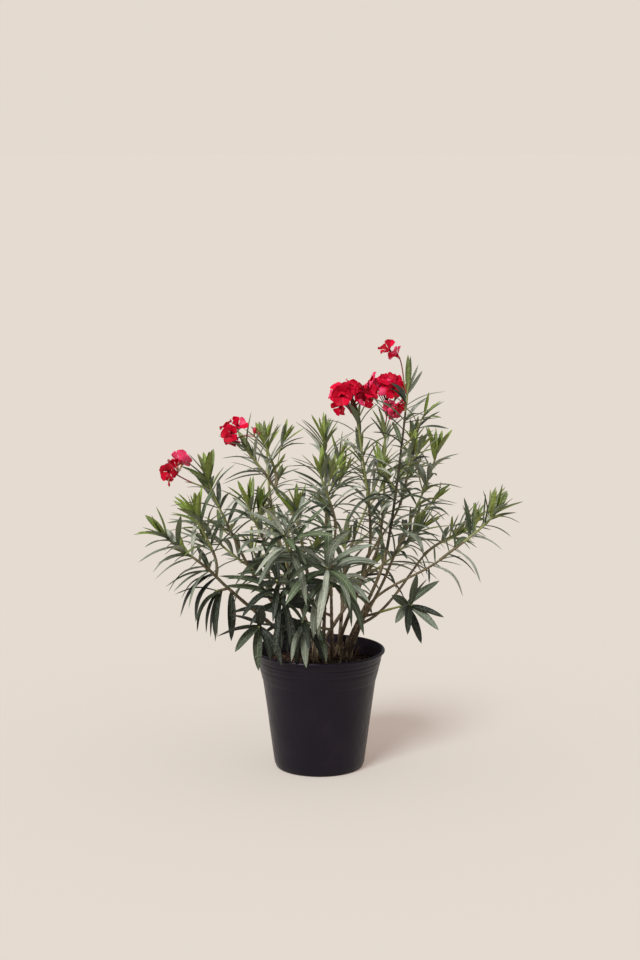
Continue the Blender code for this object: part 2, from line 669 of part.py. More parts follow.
def pot_profile():
    """From the middle of the underside up the outside, over the lip and down the inside."""
    outline = [(0, 0), (POT_BASE_RADIUS - POT_FOOT_ROUNDING, 0)]
    for degrees in (45, 90):
        a = math.radians(degrees)
        outline.append((POT_BASE_RADIUS - POT_FOOT_ROUNDING * (1 - math.sin(a)),
                        POT_FOOT_ROUNDING * (1 - math.cos(a))))
    outline.append((POT_COLLAR_RADIUS - POT_STEP, POT_COLLAR_HEIGHT - 0.001))
    outline.append((POT_COLLAR_RADIUS, POT_COLLAR_HEIGHT))
    for share in POT_STEP_SHARES:
        height = POT_COLLAR_HEIGHT + share * (POT_HEIGHT - POT_COLLAR_HEIGHT)
        outline.append((wall_radius(height) - POT_STEP, height - 0.0008))
        outline.append((wall_radius(height), height))
    lip = POT_HEIGHT - 2 * POT_LIP
    outline.append((wall_radius(lip), lip - 0.0005))
    outline.append((POT_RIM_RADIUS, POT_HEIGHT - POT_LIP))
    outline.append((POT_RIM_RADIUS - POT_LIP * 0.6, POT_HEIGHT))
    outline.append((inner_radius(POT_HEIGHT), POT_HEIGHT - 0.0006))
    for height in (POT_COLLAR_HEIGHT + 0.001, POT_COLLAR_HEIGHT - 0.002, POT_FLOOR):
        outline.append((inner_radius(height), height))
    outline.append((0, POT_FLOOR))
    return outline


def soil_profile():
    """The soil fills the pot to its level, the clearance inside the wall and over the floor."""
    gap = CLEARANCE * 1.6
    outline = [(0, POT_FLOOR + CLEARANCE)]
    for height in (POT_FLOOR + CLEARANCE, POT_COLLAR_HEIGHT - 0.002,
                   POT_COLLAR_HEIGHT + 0.001, SOIL_LEVEL - 0.003):
        outline.append((inner_radius(height) - gap, height))
    outline.append((inner_radius(SOIL_LEVEL) - 0.006, SOIL_LEVEL))
    outline.append((0, SOIL_LEVEL))
    return outline


# ---------------------------------------------------------------- materials


def material(name, colour, roughness):
    made = bpy.data.materials.new(name)
    made.use_nodes = True
    shader = made.node_tree.nodes["Principled BSDF"]
    shader.inputs["Base Color"].default_value = (*colour, 1.0)
    shader.inputs["Roughness"].default_value = roughness
    shader.inputs["Metallic"].default_value = 0.0
    made.diffuse_color = (*colour, 1.0)
    return made


# ---------------------------------------------------------------- the whole plant


def clear_scene():
    for obj in list(bpy.data.objects):
        bpy.data.objects.remove(obj)


def build():
    clear_scene()
    plastic = material("pot_plastic", (0.022, 0.019, 0.023), 0.55)
    soil = material("soil", (0.085, 0.045, 0.032), 0.95)
    bark = material("bark", (0.16, 0.12, 0.085), 0.85)
    green = material("leaf", (0.085, 0.16, 0.055), 0.5)
    red = material("petal", (0.62, 0.012, 0.035), 0.5)

    turned("pot", pot_profile(), plastic)
    turned("soil", soil_profile(), soil)

    space = Space()
    for name in ("pot", "soil"):
        body = Solid()
        body.points = [v.co.copy() for v in bpy.data.objects[name].data.vertices]
        body.faces = [tuple(p.vertices) for p in bpy.data.objects[name].data.polygons]
        space.add(name, body)

    paths = {}
    for stem in STEMS:
        path = stem_path(stem)
        paths[stem.name] = path
        flare = (stem.radius * STEM_FLARE, stem.radius * 1.08)
        solid = tube(path, STEM_SIDES, flare)
        space.add(stem.name, solid)
        mesh_object(stem.name, solid, bark).data.shade_smooth()
    for bough in BOUGHS:
        end = at_place(bough.place)
        start, leaving, foot_normal = start_on(paths[bough.carrier], bough.share, end)
        radius = min(bough.radius, along(paths[bough.carrier], bough.share)[2])
        path = limb_path(start, leaving, foot_normal, end, bough.rise, (radius, BOUGH_TIP_RADIUS))
        paths[bough.name] = path
        solid = tube(path, BOUGH_SIDES)
        space.add(bough.name, solid)
        mesh_object(bough.name, solid, bark).data.shade_smooth()

    twigs = {}
    for shoot in SHOOTS:
        end = at_place(shoot.place)
        start, leaving, foot_normal = start_on(paths[shoot.carrier], shoot.share, end)
        radius = min(BOUGH_TIP_RADIUS, along(paths[shoot.carrier], shoot.share)[2])
        path = limb_path(start, leaving, foot_normal, end, shoot.rise, (radius, TWIG_TIP_RADIUS))
        paths[shoot.name] = path
        twigs[shoot.name] = tube(path, TWIG_SIDES)
        space.add(shoot.name, twigs[shoot.name])

    for number, truss in enumerate(TRUSSES):
        solids = truss_solids(truss, paths[truss.carrier], random.Random(SEED * 100 + number))
        for solid in solids:
            space.add(truss.name, solid)
        joined(truss.name, solids, red)

    for number, shoot in enumerate(SHOOTS):
        rng = random.Random(SEED * 1000 + number)
        growth = grow_shoot(shoot, paths[shoot.name], rng, space)
        for solid in growth:
            space.add(shoot.name, solid)
        joined(shoot.name, [twigs[shoot.name]] + growth, green)


build()
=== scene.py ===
"""Looks of the potted oleander: leaves, twigs, bark, flowers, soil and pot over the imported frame.

The plant grows by the same seeded rule as the frame's solids, so each leaf of a solid has its
fine leaf here, and is then carried on to the whorls, side twigs and flowers between them.
"""

import math
import random
from collections import namedtuple

import bpy
from mathutils import Matrix, Vector, noise
from mathutils.bvhtree import BVHTree


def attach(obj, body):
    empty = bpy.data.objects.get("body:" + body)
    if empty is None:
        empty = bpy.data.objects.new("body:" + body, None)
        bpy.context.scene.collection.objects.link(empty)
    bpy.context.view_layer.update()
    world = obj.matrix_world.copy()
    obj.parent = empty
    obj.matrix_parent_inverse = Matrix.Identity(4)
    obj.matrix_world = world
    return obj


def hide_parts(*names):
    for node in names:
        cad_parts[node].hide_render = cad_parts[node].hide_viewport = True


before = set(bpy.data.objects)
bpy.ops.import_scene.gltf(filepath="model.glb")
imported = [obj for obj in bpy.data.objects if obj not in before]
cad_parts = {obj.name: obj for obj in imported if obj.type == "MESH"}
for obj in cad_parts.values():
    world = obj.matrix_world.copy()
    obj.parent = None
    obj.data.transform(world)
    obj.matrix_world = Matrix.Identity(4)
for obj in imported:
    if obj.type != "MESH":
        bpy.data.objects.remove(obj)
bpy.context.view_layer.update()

# ---- driving dimensions

CLEARANCE = 0.0003  # gap between neighbouring pieces
SPARE = 0.0005  # what a leaf is thickened by to test that it stands clear
UP = Vector((0.0, 0.0, 1.0))

POT_HEIGHT = 0.221
POT_RIM_RADIUS = 0.120
POT_BASE_RADIUS = 0.0815
POT_COLLAR_HEIGHT = 0.168  # where the flared collar starts
POT_COLLAR_RADIUS = 0.1045
POT_WALL = 0.0016
POT_FLOOR = 0.0022
POT_FOOT_ROUNDING = 0.0050
POT_LIP = 0.0030  # how far the rolled lip stands out, and half its height
POT_STEP = 0.0009  # depth of the steps in the collar
POT_STEP_HEIGHTS = [POT_COLLAR_HEIGHT + share * (POT_HEIGHT - POT_COLLAR_HEIGHT) for share in (0.42, 0.70)]
POT_LIP_FOOT = POT_HEIGHT - 2 * POT_LIP
POT_SIDES = 28

SOIL_LEVEL = 0.193
SOIL_GAP = CLEARANCE * 1.6  # between soil and pot

STEM_SIDES = 8
STEM_FLARE = (1.45, 1.08)  # the radii of the foot and of the ring after it, over the stem's
STEM_TIP_RADIUS = 0.0027
BOUGH_SIDES = 6
BOUGH_TIP_RADIUS = 0.0022
TWIG_SIDES = 4
TWIG_TIP_RADIUS = 0.0013
SIDE_TWIG_SIDES = 3
SIDE_TWIG_RADIUS = 0.0016
RING_SPACING = 0.055  # between two rings of a limb
FOOT_RING_DISTANCE = 4.0  # of a limb's radius, from its foot to the next ring
FOOT_RING_SHARE = 0.4  # of the ring spacing, which that ring keeps within
LEAVING_ALONG = 0.6  # how far a limb leans along its carrier where it leaves
STEM_UPRIGHT = 0.15  # how far a stem is turned up where it leaves the soil

FORK_SHARES = (0.30, 0.72)  # where side twigs start, as a share of their shoot
FORK_LENGTHS = (0.30, 0.45)  # of the shoot's length
FORK_BARE = 0.35  # the leafless share of a side twig
FORK_SIZE = 0.85  # its leaves, over the shoot's
FORK_ALONG = 0.72  # how far a side twig goes along its shoot,
FORK_OUTWARD = 0.70  # away from it
FORK_UPWARD = 0.2  # and up
FORK_RISE = 0.4  # how strongly it turns up towards its end
FORK_LEAVING_ALONG = 0.8  # how far it leans along its shoot where it leaves
FORK_TAPER = 0.8  # its tip over a shoot's tip, and its foot over the shoot there at most
LEAF_SWING = 0.2  # how far, in radians, a leaf may stand off its place in the whorl
SWING_GROWTH = 1.5  # how much further with each try

LEAF_LENGTH = 0.118
LEAF_WIDTH = 0.138  # of its length
LEAF_THICKNESS = 0.014  # of its length
LEAF_FOLD = 0.22  # how far the edges rise over the midrib, of half the width
LEAF_MIDDLE = 0.46  # of its length, where it is widest and bends
PETIOLE_HALF_WIDTH = 0.0009
LEAVES_IN_A_WHORL = 3
WHORL_TIP_GAP = 0.012  # between the two youngest whorls
WHORL_GAP_GROWTH = 0.0100  # how much wider each further gap is
WHORL_FULL_GAP = 0.050
LEAFLESS_FOOT = 0.008  # of every twig, before its bare share
TIP_INSET = 0.003  # from the tip to the youngest whorl
TRIES = 5  # places tried for a leaf before it is left out
LEAF_ROOT_SHARE = 0.07  # of a leaf, where it may meet its neighbours on the twig
LEAF_ROOT_OFFSET = 0.35  # of the twig's radius, from its axis to the leaf's root
WHORL_STAGGER = 0.0024  # along the twig, from one leaf of a whorl to the next
YOUNG_LENGTH = 0.40  # the youngest leaf's length over a grown one's
LENGTH_AGE = 1.5  # whorls over which leaves reach their length
YOUNG_SPREAD = 17  # degrees between the youngest leaf and its twig
SPREAD_GROWTH = 54  # how many degrees wider an old leaf stands
SPREAD_AGE = 2.6  # whorls over which leaves spread
ARCH = 46  # degrees by which a grown leaf bends down
SHARPEST_BEND = 56  # degrees; a leaf that hangs lower turns down from its root
LEAST_ROOM = 0.02  # radians short of straight down, from where nothing bends on
ROOM_USED = 0.9  # of the angle to straight down, at most
LENGTH_RANGE = (0.88, 1.08)
SPREAD_RANGE = 7  # degrees
ARCH_RANGE = (0.5, 1.4)
LEVELLING = 0.8  # how strongly a blade turns its upper side up

FLOWER_RADIUS = 0.0205
FLOWER_NOTCH = 0.66  # the reach between two petals, of the radius
FLOWER_TUBE = 0.013
FLOWER_HOLLOW = 0.22  # how deep the solid's funnel is, of the radius
PETALS = 5
PEDICEL_RADIUS = 0.0010
PEDUNCLE_RADIUS = 0.0016  # of a truss's stalk
PEDICEL_HEEL = 0.001  # how far a flower's stalk is sunk where all of them meet
CROTCH_DEPTH = 0.9  # of a truss's spread, from its middle down to where its stalks meet
STALK_RISE, STALK_TAPER = 0.2, 0.8
BUD_LEAN = 0.6  # how far the buds lean out
BUD_LENGTH = 0.016
BUD_RADIUS = 0.0032
BUD_HEEL = 0.002
GOLDEN_TURN = 137.5  # degrees from one flower of a truss to the next
FLOWER_TO_FRONT = 0.25  # how far the flowers turn to -Y
FLOWER_DEPTHS = (0.85, 1.15)  # from a truss's middle, of its spread
DOME_TOP, DOME_DEPTH = 0.95, 1.15  # where the flowers of a truss lie on a ball of one unit

SEED = 41

# ---- fine sizes

LIMB_SPACING = 0.005  # between two rings of a bark-covered limb
STEM_POINTS = 14  # round a stem
BOUGH_POINTS = 11
TWIG_SPACING = 0.009
TWIG_POINTS = 7
HEEL = 0.004  # how far a side limb's foot is sunk in its carrier
HEEL_GIRTH = 1.15  # of the sunk end, over the foot's
STEM_HEEL = 0.002
TWIG_HEEL = 0.003
TIP_ROUNDING = 0.7  # how far a limb's tip stands out, of its radius
BARK_RELIEF = 0.10  # of the radius
BARK_GRAIN = Vector((700, 700, 160))  # cycles per metre
BARK_GIRTH = 0.94  # of the smooth bark between scars, over its solid's
SCAR_SPACING = 0.031  # between the leaf scars of a stem
SCAR_SWELLING = 0.12  # of the radius
SCAR_RUN = 0.0022  # half a scar's length
WHORL_SWELLING = 0.28  # of a twig's radius, where its leaves stand
WHORL_SWELLING_RUN = 0.0028
MAIN_TWIG_GIRTH = 1.28  # a shoot's main twig over its solid's
BROWN_SHARE = 0.35  # of a main twig, from its foot
# the spear shoot's main twig is painted dark, as shade, up to this share
DARK_SHARE = 0.80  # of the twig of a shoot that ends in a spear
FOOT_GIRTH = 1.12  # a stem at the soil, over the stem
FOOT_RUN = 0.004

LEAF_RINGS = 9
LEAF_ROOT_DEPTH = 0.0018  # how far a stalk is sunk in its twig
RIB_HALF_WIDTH = 0.0060  # of a leaf's length
KEEL_DEPTH = 0.0065  # of a leaf's length
LEAST_KEEL = 0.0003
BLADE_SHAPE = 1.45  # above 1, how pointed a blade is

SLENDER_WIDTH = 0.73  # a grown leaf's width on an upright shoot, over its solid's
YOUNG_WIDENING = 0.84  # how much wider the youngest leaf is, over its solid's width
OLD_WIDTH = 1.02  # on a short old one
HANGING_WIDTH = 0.80  # on a hanging or spreading one
GROWN_REACH = 0.84  # a grown leaf's length on an upright shoot, over its solid's
BLADE_FOLD = 0.36  # how far the edges rise over the midrib, of half the width
HANGING_DROOP = 1.2  # a shoot's droop from which its leaves count as hanging
REACH_RANGE = (0.90, 1.05)
WIDTH_RANGE = (0.78, 1.12)
DROOP_RANGE = (0.62, 1.08)
LEAF_TWIST = 0.30
LEAF_SWAY = 0.16
BEND_FROM, BEND_RUN = 0.08, 0.72  # of a leaf's length, where it starts to bend and over how much
SINGLE_LEAF_OFFSET = 0.6  # of its limb's radius

FILLER_TRIES = 4
FILLER_TWIG_SPACING = 0.165  # of main twig for each extra side twig
FILLER_TWIG_SHARES = (0.15, 0.62)
FILLER_TWIG_LENGTHS = (0.16, 0.28)
FILLER_TWIG_SIZE = 0.78
FILLER_LEAFLESS_FOOT = 0.006
WHORL_MARGIN = 0.004  # between a whorl and the leaves that fill on to the next
NARROW_GAP = 0.005  # how far from the whorl they reach where the next is close
TIP_WHORL = 0.008  # from the tip to the whorl that closes it
TIP_WHORL_AGE = 0.4
FILLER_SHARES = (0.76, 0.80, 0.10)  # how many of the places between whorls are taken, by the shoot's age

# Where a shoot departs from the rule: its filling, its grown leaves' width, how much wider young ones are.
OWN = {
    "foliage_front": dict(filling=0.75, width=0.98),
    "foliage_left": dict(widening=1.25),
    "foliage_left_low": dict(widening=1.50),
    "foliage_left_hanging": dict(filling=0.0, width=1.00),
    "foliage_left_inside": dict(filling=0.35),
    "foliage_low_left": dict(width=0.92),
    "foliage_tall_right": dict(width=0.64),
    "foliage_tall_mid": dict(filling=0.75, width=0.60),
    "foliage_mid": dict(filling=0.85, width=0.54, widening=0.40),
    "foliage_mid_front": dict(filling=1.0, width=0.84, widening=0.40),
    "foliage_back_mid": dict(filling=0.50, width=0.58, widening=0.60),
    "foliage_back_high": dict(filling=0.45, width=0.58, widening=0.50),
    "foliage_back_left_high": dict(filling=0.45, width=0.58, widening=0.50),
    "foliage_back_right_high": dict(filling=0.45, width=0.60, widening=0.50),
}
HIGH_CROWN = 0.54  # the crown is more open above this height, by the share that follows
HIGH_FILLING = 0.26

# Large leaves set one by one, by shoot: the limb they stand on, then of each leaf the share of that
# limb, the way it points, length, droop, width over its solid's and tint. The tints paint light and
# shade leaf by leaf: dark and deep ones are painted shade, pale ones painted light.
SINGLE_LEAVES = {
    "foliage_right_low": ("bough_right_low", (
        (0.88, (0.75, -0.35, -0.20), 0.088, 1.00, 0.92, "pale"),
        (0.97, (0.95, -0.25, -0.05), 0.046, 0.30, 0.92, "deep"),
        (0.84, (0.05, -0.20, -1.00), 0.032, 0.05, 0.92, "dark"),
        (0.98, (0.90, 0.15, 0.30), 0.044, 0.35, 0.92, "grey"),
        (0.93, (-0.10, -0.25, 1.00), 0.036, 0.00, 0.92, "deep"))),
    "foliage_right_mid": ("bough_right_mid", (
        (0.95, (0.25, -0.35, -0.90), 0.034, 0.10, 0.92, "deep"),
        (0.90, (0.80, -0.40, 0.10), 0.060, 0.90, 0.92, "grey"),
        (0.84, (-0.70, -0.30, 0.30), 0.052, 0.90, 0.92, "grey"))),
    "foliage_tall_right": ("foliage_tall_right", (
        (0.30, (-0.80, -0.35, 0.15), 0.125, 1.25, 0.92, "grey"),
        (0.29, (-0.50, -0.65, -0.05), 0.056, 0.90, 0.92, "pale"),
        (0.20, (-0.35, -0.35, -0.85), 0.040, 0.20, 0.92, "pale"),
        (0.12, (0.65, -0.50, 0.00), 0.078, 0.90, 0.92, "grey"),
        (0.92, (-0.45, -0.35, 0.85), 0.026, 0.00, 0.95, "green"),
        (0.86, (-0.65, -0.45, 0.62), 0.042, 0.00, 0.85, "deep"),
        (0.83, (-0.85, -0.40, 0.42), 0.052, 0.05, 0.80, "deep"),
        (0.72, (-0.70, -0.35, 0.70), 0.086, 0.10, 0.55, "deep"),
        (0.84, (0.88, -0.20, 0.45), 0.050, 0.05, 0.60, "green"),
        (0.77, (0.86, -0.25, 0.48), 0.064, 0.05, 0.60, "deep"),
        (0.76, (0.97, -0.25, 0.20), 0.066, 0.05, 0.70, "dark"))),
    "foliage_right_high": ("foliage_right_high", (
        (0.32, (0.35, -0.60, 0.05), 0.080, 1.20, 0.92, "pale"),
        (0.50, (0.55, -0.50, 0.20), 0.060, 1.10, 0.92, "pale"))),
    "foliage_tall_mid": ("foliage_tall_mid", (
        (0.36, (0.85, -0.35, 0.45), 0.082, 0.35, 0.92, "grey"),
        (0.20, (-0.60, -0.50, 0.30), 0.074, 1.10, 0.92, "pale"))),
    "foliage_left_high": ("foliage_left_high", (
        (0.80, (-0.76, -0.45, 0.52), 0.054, 0.10, 0.85, "deep"),
        (0.86, (-0.30, -0.60, 0.70), 0.036, 0.05, 1.00, "green"))),
    "foliage_left": ("foliage_left", (
        (0.90, (-0.62, -0.45, 0.64), 0.064, 0.05, 0.80, "deep"),
        (0.86, (-0.66, -0.50, 0.50), 0.054, 0.10, 0.80, "green"))),
    "foliage_left_hanging": ("stem_left_low", (
        (0.99, (-0.60, -0.25, -0.40), 0.108, 1.00, 1.30, "dark"),
        (0.95, (-0.55, -0.30, -0.50), 0.094, 0.80, 1.35, "dark"),
        (0.80, (0.04, -0.25, -0.95), 0.090, 0.15, 1.30, "dark"),
        (0.97, (-0.85, -0.20, -0.10), 0.080, 1.30, 0.92, "deep"))),
}
PETAL_SHARES = (0.0, 0.24, 0.46, 0.64, 0.80, 0.91, 0.97, 1.0)  # where a petal's rows lie
PETAL_WIDEST = 0.66
PETAL_REACH = 0.0222  # from a flower's middle
PETAL_HALF_WIDTH = 0.0102
PETAL_THICKNESS = 0.0005
THROAT_RADIUS = 0.0034
THROAT_DEPTH = 0.0050
PETAL_COLUMNS = (-1.0, -0.6, 0.0, 0.6, 1.0)
PETAL_ROUNDING = 0.0022  # how far the corners fall short of the end
PETAL_BULGE = 0.0014  # of the middle to the front
PETAL_HOLLOW = 0.0018  # how far the edges rise over the middle
PETAL_TILT = 0.0012  # of one edge over the other
PETAL_SWEEP = 0.0020  # of the end to one side
PETAL_RUFFLE = 0.0009
# A flower's own tone is painted light and shade; its other petals take lit tones, mostly pink, as painted
# highlights.
SHADE_SHARE = 0.74  # of a flower's petals that have its own shade
BLOOM_DEPTHS = (0.88, 1.06)  # of the flattened ball, where its flowers stand
BLOOM_SWAY = 0.22
BLOOM_SIZES = (0.84, 1.02)
# weights of the painted light and shade tones dealt at random to a cluster's flowers
SHADE_WEIGHTS = (0.50, 0.38, 0.12)  # bright, mid, deep
PETAL_CUP = (-0.26, 0.14)  # how far petals bend back or forward, of their reach
PETAL_SWING = 0.09  # radians off an even turn
PETAL_REACHES = (0.90, 1.06)
STALK_SPACING = 0.004
STALK_POINTS = 6
PEDUNCLE_SPACING = 0.006
FLOWER_POINTS = 8  # round a truss's stalk, a calyx and a bud
THROAT_POINTS = 9
CALYX_PROFILE = ((0, 0), (0.0003, 0.0021), (0.003, 0.0022), (0.006, 0.0013), (0.0065, 0))
BUD_PROFILE = ((0.0, 0.38), (0.22, 0.48), (0.5, 0.85), (0.66, 1.0), (0.84, 0.74))

POT_POINTS = 96
SOIL_POINTS = 96
SOIL_RINGS = 26
CRUMB_SIZES = (0.0011, 0.0015, 0.0021, 0.0030)
POT_WOBBLE = 0.0009  # how far the wall is out of round
POT_RING_WIDTH = 0.0022
CRUMBS = 1500
DRY_STALKS = 95


# ---- the plant's plan

Place = namedtuple("Place", "bearing reach height")
Limb = namedtuple("Limb", "name carrier share place rise radius")
Shoot = namedtuple("Shoot", "name carrier share place rise bare forks age size droop")
Truss = namedtuple("Truss", "name carrier share place spread flowers buds")


def planned(kind, prefix, rows):
    """The rows of a plan as named tuples."""
    return [kind(prefix + name, carrier, share, Place(*place), *rest)
            for name, carrier, share, place, *rest in rows]


# carrier and share: what a limb starts on, and how far along it, 1 at the tip. A stem's carrier
# is the bearing and reach of its foot. rise: how strongly the limb turns up towards its end,
# below 0 where it hangs. radius: at the limb's foot.
STEMS = planned(Limb, "stem_", (
    ("right", (42, 0.074), 0, (25, 0.094, 0.284), 0.1, 0.0047),
    ("right_high", (55, 0.082), 0, (31, 0.148, 0.350), 0.3, 0.0040),
    ("tall_right", (40, 0.054), 0, (0, 0.123, 0.408), 0.9, 0.0042),
    ("tall_mid", (62, 0.060), 0, (21, 0.099, 0.401), 0.9, 0.0040),
    ("back_mid", (92, 0.082), 0, (52, 0.175, 0.375), 0.5, 0.0039),
    ("mid", (80, 0.036), 0, (65, 0.030, 0.380), 0.2, 0.0039),
    ("left_high", (60, 0.014), 0, (-164, 0.037, 0.443), 0.1, 0.0042),
    ("left", (115, 0.040), 0, (-172, 0.145, 0.408), 0.3, 0.0044),
    ("left_low", (150, 0.018), 0, (-157, 0.209, 0.380), 0.1, 0.0045),
    ("front", (10, 0.024), 0, (-70, 0.062, 0.335), 0.1, 0.0041),
    ("back_left", (94, 0.060), 0, (118, 0.125, 0.350), 0.2, 0.0041),
    ("back_right", (66, 0.088), 0, (72, 0.156, 0.335), 0.2, 0.0040),
))

BOUGHS = planned(Limb, "bough_", (
    ("right_low", "stem_right", 1, (-1, 0.221, 0.388), 0.1, 0.0034),
    ("right_mid", "stem_right", 0.72, (20, 0.207, 0.382), 0.1, 0.0030),
    ("back_side", "stem_back_mid", 0.80, (48, 0.228, 0.460), 0.5, 0.0026),
    ("mid_front", "stem_mid", 0.55, (-62, 0.062, 0.457), 0.5, 0.0026),
    ("left_high", "stem_left_high", 1, (-167, 0.088, 0.530), 0.1, 0.0027),
    ("left_front", "stem_left", 0.62, (-137, 0.130, 0.425), 0.4, 0.0027),
    ("front_left", "stem_front", 0.70, (-113, 0.112, 0.400), 0.2, 0.0027),
    ("back_left", "stem_back_left", 1, (122, 0.165, 0.440), 0.3, 0.0027),
    ("back_high", "stem_back_right", 0.70, (84, 0.170, 0.440), 0.4, 0.0026),
))

# bare: the leafless share of the shoot at its foot. forks: its side twigs. age: how many whorls
# grown its tip is, 0 for a young one. size and droop: of its leaves.
SHOOTS = planned(Shoot, "foliage_", (
    ("right_low", "bough_right_low", 1, (-5, 0.325, 0.486), 0.4, 0.0, 1, 0, 0.84, 0.9),
    ("right_mid", "bough_right_mid", 1, (19, 0.303, 0.440), 0.3, 0.0, 1, 0, 0.74, 0.9),
    ("right_high", "stem_right_high", 1, (29, 0.251, 0.570), 0.6, 0.0, 1, 0, 0.94, 1.1),
    ("tall_right", "stem_tall_right", 1, (-4, 0.160, 0.712), 0.2, 0.0, 1, 0, 0.92, 0.8),
    ("tall_mid", "stem_tall_mid", 1, (17, 0.072, 0.648), 0.2, 0.0, 1, 0, 0.95, 0.9),
    ("back_mid", "stem_back_mid", 1, (49, 0.187, 0.606), 0.4, 0.1, 1, 0, 0.90, 0.9),
    ("back_side", "bough_back_side", 1, (45, 0.254, 0.585), 0.4, 0.0, 0, 0, 0.85, 0.9),
    ("mid", "stem_mid", 1, (51, 0.013, 0.610), 0.3, 0.0, 1, 0, 0.92, 0.8),
    ("mid_front", "bough_mid_front", 1, (-90, 0.075, 0.563), 0.3, 0.0, 1, 0, 0.88, 0.8),
    ("left_high", "bough_left_high", 1, (-167, 0.143, 0.608), 0.3, 0.0, 0, 0, 0.85, 0.7),
    ("left_inner", "bough_left_high", 0.90, (-177, 0.098, 0.605), 0.7, 0.15, 0, 0, 0.88, 0.7),
    ("left", "stem_left", 1, (-172, 0.206, 0.553), 0.7, 0.1, 1, 0, 0.90, 0.8),
    ("left_low", "stem_left_low", 1, (-159, 0.300, 0.457), 0.2, 0.0, 0, 0, 0.90, 1.1),
    ("left_low_upper", "stem_left_low", 0.96, (-159, 0.235, 0.490), 0.7, 0.15, 0, 0, 0.94, 0.9),
    ("left_hanging", "stem_left_low", 0.84, (-156, 0.206, 0.343), -0.6, 0.1, 0, 2, 0.92, 3.2),
    ("left_front", "bough_left_front", 1, (-137, 0.174, 0.514), 0.5, 0.0, 1, 0, 0.92, 0.9),
    ("low_left", "stem_left", 0.30, (-132, 0.098, 0.322), -0.4, 0.3, 0, 2, 0.95, 1.8),
    ("left_inside", "stem_left", 0.45, (-120, 0.150, 0.375), 0.1, 0.35, 0, 1, 1.0, 1.3),
    ("front_left", "bough_front_left", 1, (-108, 0.200, 0.470), 0.3, 0.0, 1, 1, 1.0, 1.1),
    ("front", "stem_front", 1, (-85, 0.158, 0.404), 0.2, 0.2, 0, 2, 1.0, 2.0),
    ("front_high", "stem_left_high", 0.60, (-112, 0.110, 0.505), 0.5, 0.25, 0, 0, 0.95, 1.0),
    ("pot_front", "stem_front", 0.50, (-108, 0.100, 0.292), 0.0, 0.4, 0, 3, 0.78, 2.0),
    ("pot_left", "stem_left_low", 0.50, (-137, 0.147, 0.284), -0.3, 0.55, 0, 4, 0.72, 0.7),
    ("pot_right", "stem_right", 0.88, (-26, 0.184, 0.320), -0.1, 0.78, 0, 4, 0.66, 0.4),
    ("back_left_high", "bough_back_left", 1, (120, 0.200, 0.575), 0.4, 0.0, 1, 0, 0.94, 0.9),
    ("back_left_low", "stem_back_left", 0.80, (150, 0.270, 0.440), 0.4, 0.2, 0, 0, 0.98, 1.1),
    ("back_low", "stem_back_left", 0.62, (110, 0.270, 0.400), 0.4, 0.2, 1, 0, 0.98, 1.1),
    ("back_high", "bough_back_high", 1, (88, 0.205, 0.585), 0.4, 0.0, 1, 0, 0.94, 0.9),
    ("back_right_high", "stem_back_right", 1, (63, 0.265, 0.530), 0.5, 0.1, 1, 0, 0.92, 0.9),
    ("back_right_low", "stem_back_right", 0.80, (46, 0.285, 0.410), 0.3, 0.2, 0, 0, 0.98, 1.1),
    ("back_low_right", "stem_back_right", 0.52, (80, 0.290, 0.365), 0.3, 0.25, 0, 0, 0.98, 1.1),
))

TRUSSES = planned(Truss, "blossom_", (
    ("top", "foliage_tall_right", 0.95, (-9, 0.126, 0.773), 0.013, 2, 1),
    ("tall_mid", "foliage_tall_mid", 1, (15, 0.059, 0.680), 0.030, 6, 2),
    ("back_mid", "foliage_back_mid", 1, (45, 0.176, 0.664), 0.038, 8, 2),
    ("left_high", "foliage_left_high", 0.80, (-167, 0.158, 0.626), 0.017, 4, 2),
    ("left", "foliage_left", 0.80, (-172, 0.257, 0.564), 0.018, 3, 2),
))

# ---- the solids' growth rule


class Skin:
    """Points, faces and the tone of each face, for one joined piece or for a test of clearance.

    Rings run counter-clockwise round the way that the next ring lies; tones go round with their sides."""

    def __init__(self):
        self.points, self.faces, self.tones = [], [], []

    def ring(self, points):
        """Adds points and gives their numbers."""
        first = len(self.points)
        self.points.extend(points)
        return list(range(first, len(self.points)))

    def face(self, corners, tone=0):
        self.faces.append(tuple(corners))
        self.tones.append(tone)

    def band(self, lower, upper, tones=(0,)):
        """Joins two rings of equal count by quads."""
        for i in range(len(lower)):
            j = (i + 1) % len(lower)
            self.face((lower[i], lower[j], upper[j], upper[i]), tones[i % len(tones)])

    def fan(self, ring, tip, tones=(0,)):
        """Joins a ring to one of the skin's points by triangles."""
        for i in range(len(ring)):
            self.face((ring[i], ring[(i + 1) % len(ring)], tip), tones[i % len(tones)])

    def close(self, ring, point, tones=(0,)):
        """Closes a ring on a new point further on."""
        self.fan(ring, self.ring([point])[0], tones)

    def join(self, other):
        """Takes in another skin's points and faces."""
        first = len(self.points)
        self.points.extend(other.points)
        for face, tone in zip(other.faces, other.tones):
            self.face((first + i for i in face), tone)


def own_or(shoot, what, usual):
    """What a shoot has of its own, or the usual value."""
    return OWN.get(shoot.name, {}).get(what, usual)


def turns(count):
    """Even turns round a circle."""
    return [2 * math.pi * k / count for k in range(count)]


def any_turn(rng):
    return rng.uniform(0, 2 * math.pi)


def turned(side, other, turn):
    """A direction turned from one towards another."""
    return side * math.cos(turn) + other * math.sin(turn)


def square_to(facing):
    """Two directions square to a third and to each other."""
    side = facing.orthogonal().normalized()
    return side, facing.cross(side)


def circle(centre, side, other, radius, count):
    """Points round a centre, in the plane of two directions."""
    return [centre + turned(side, other, a) * radius for a in turns(count)]


def at_place(place):
    turn = math.radians(place.bearing)
    return Vector((place.reach * math.cos(turn), place.reach * math.sin(turn), place.height))


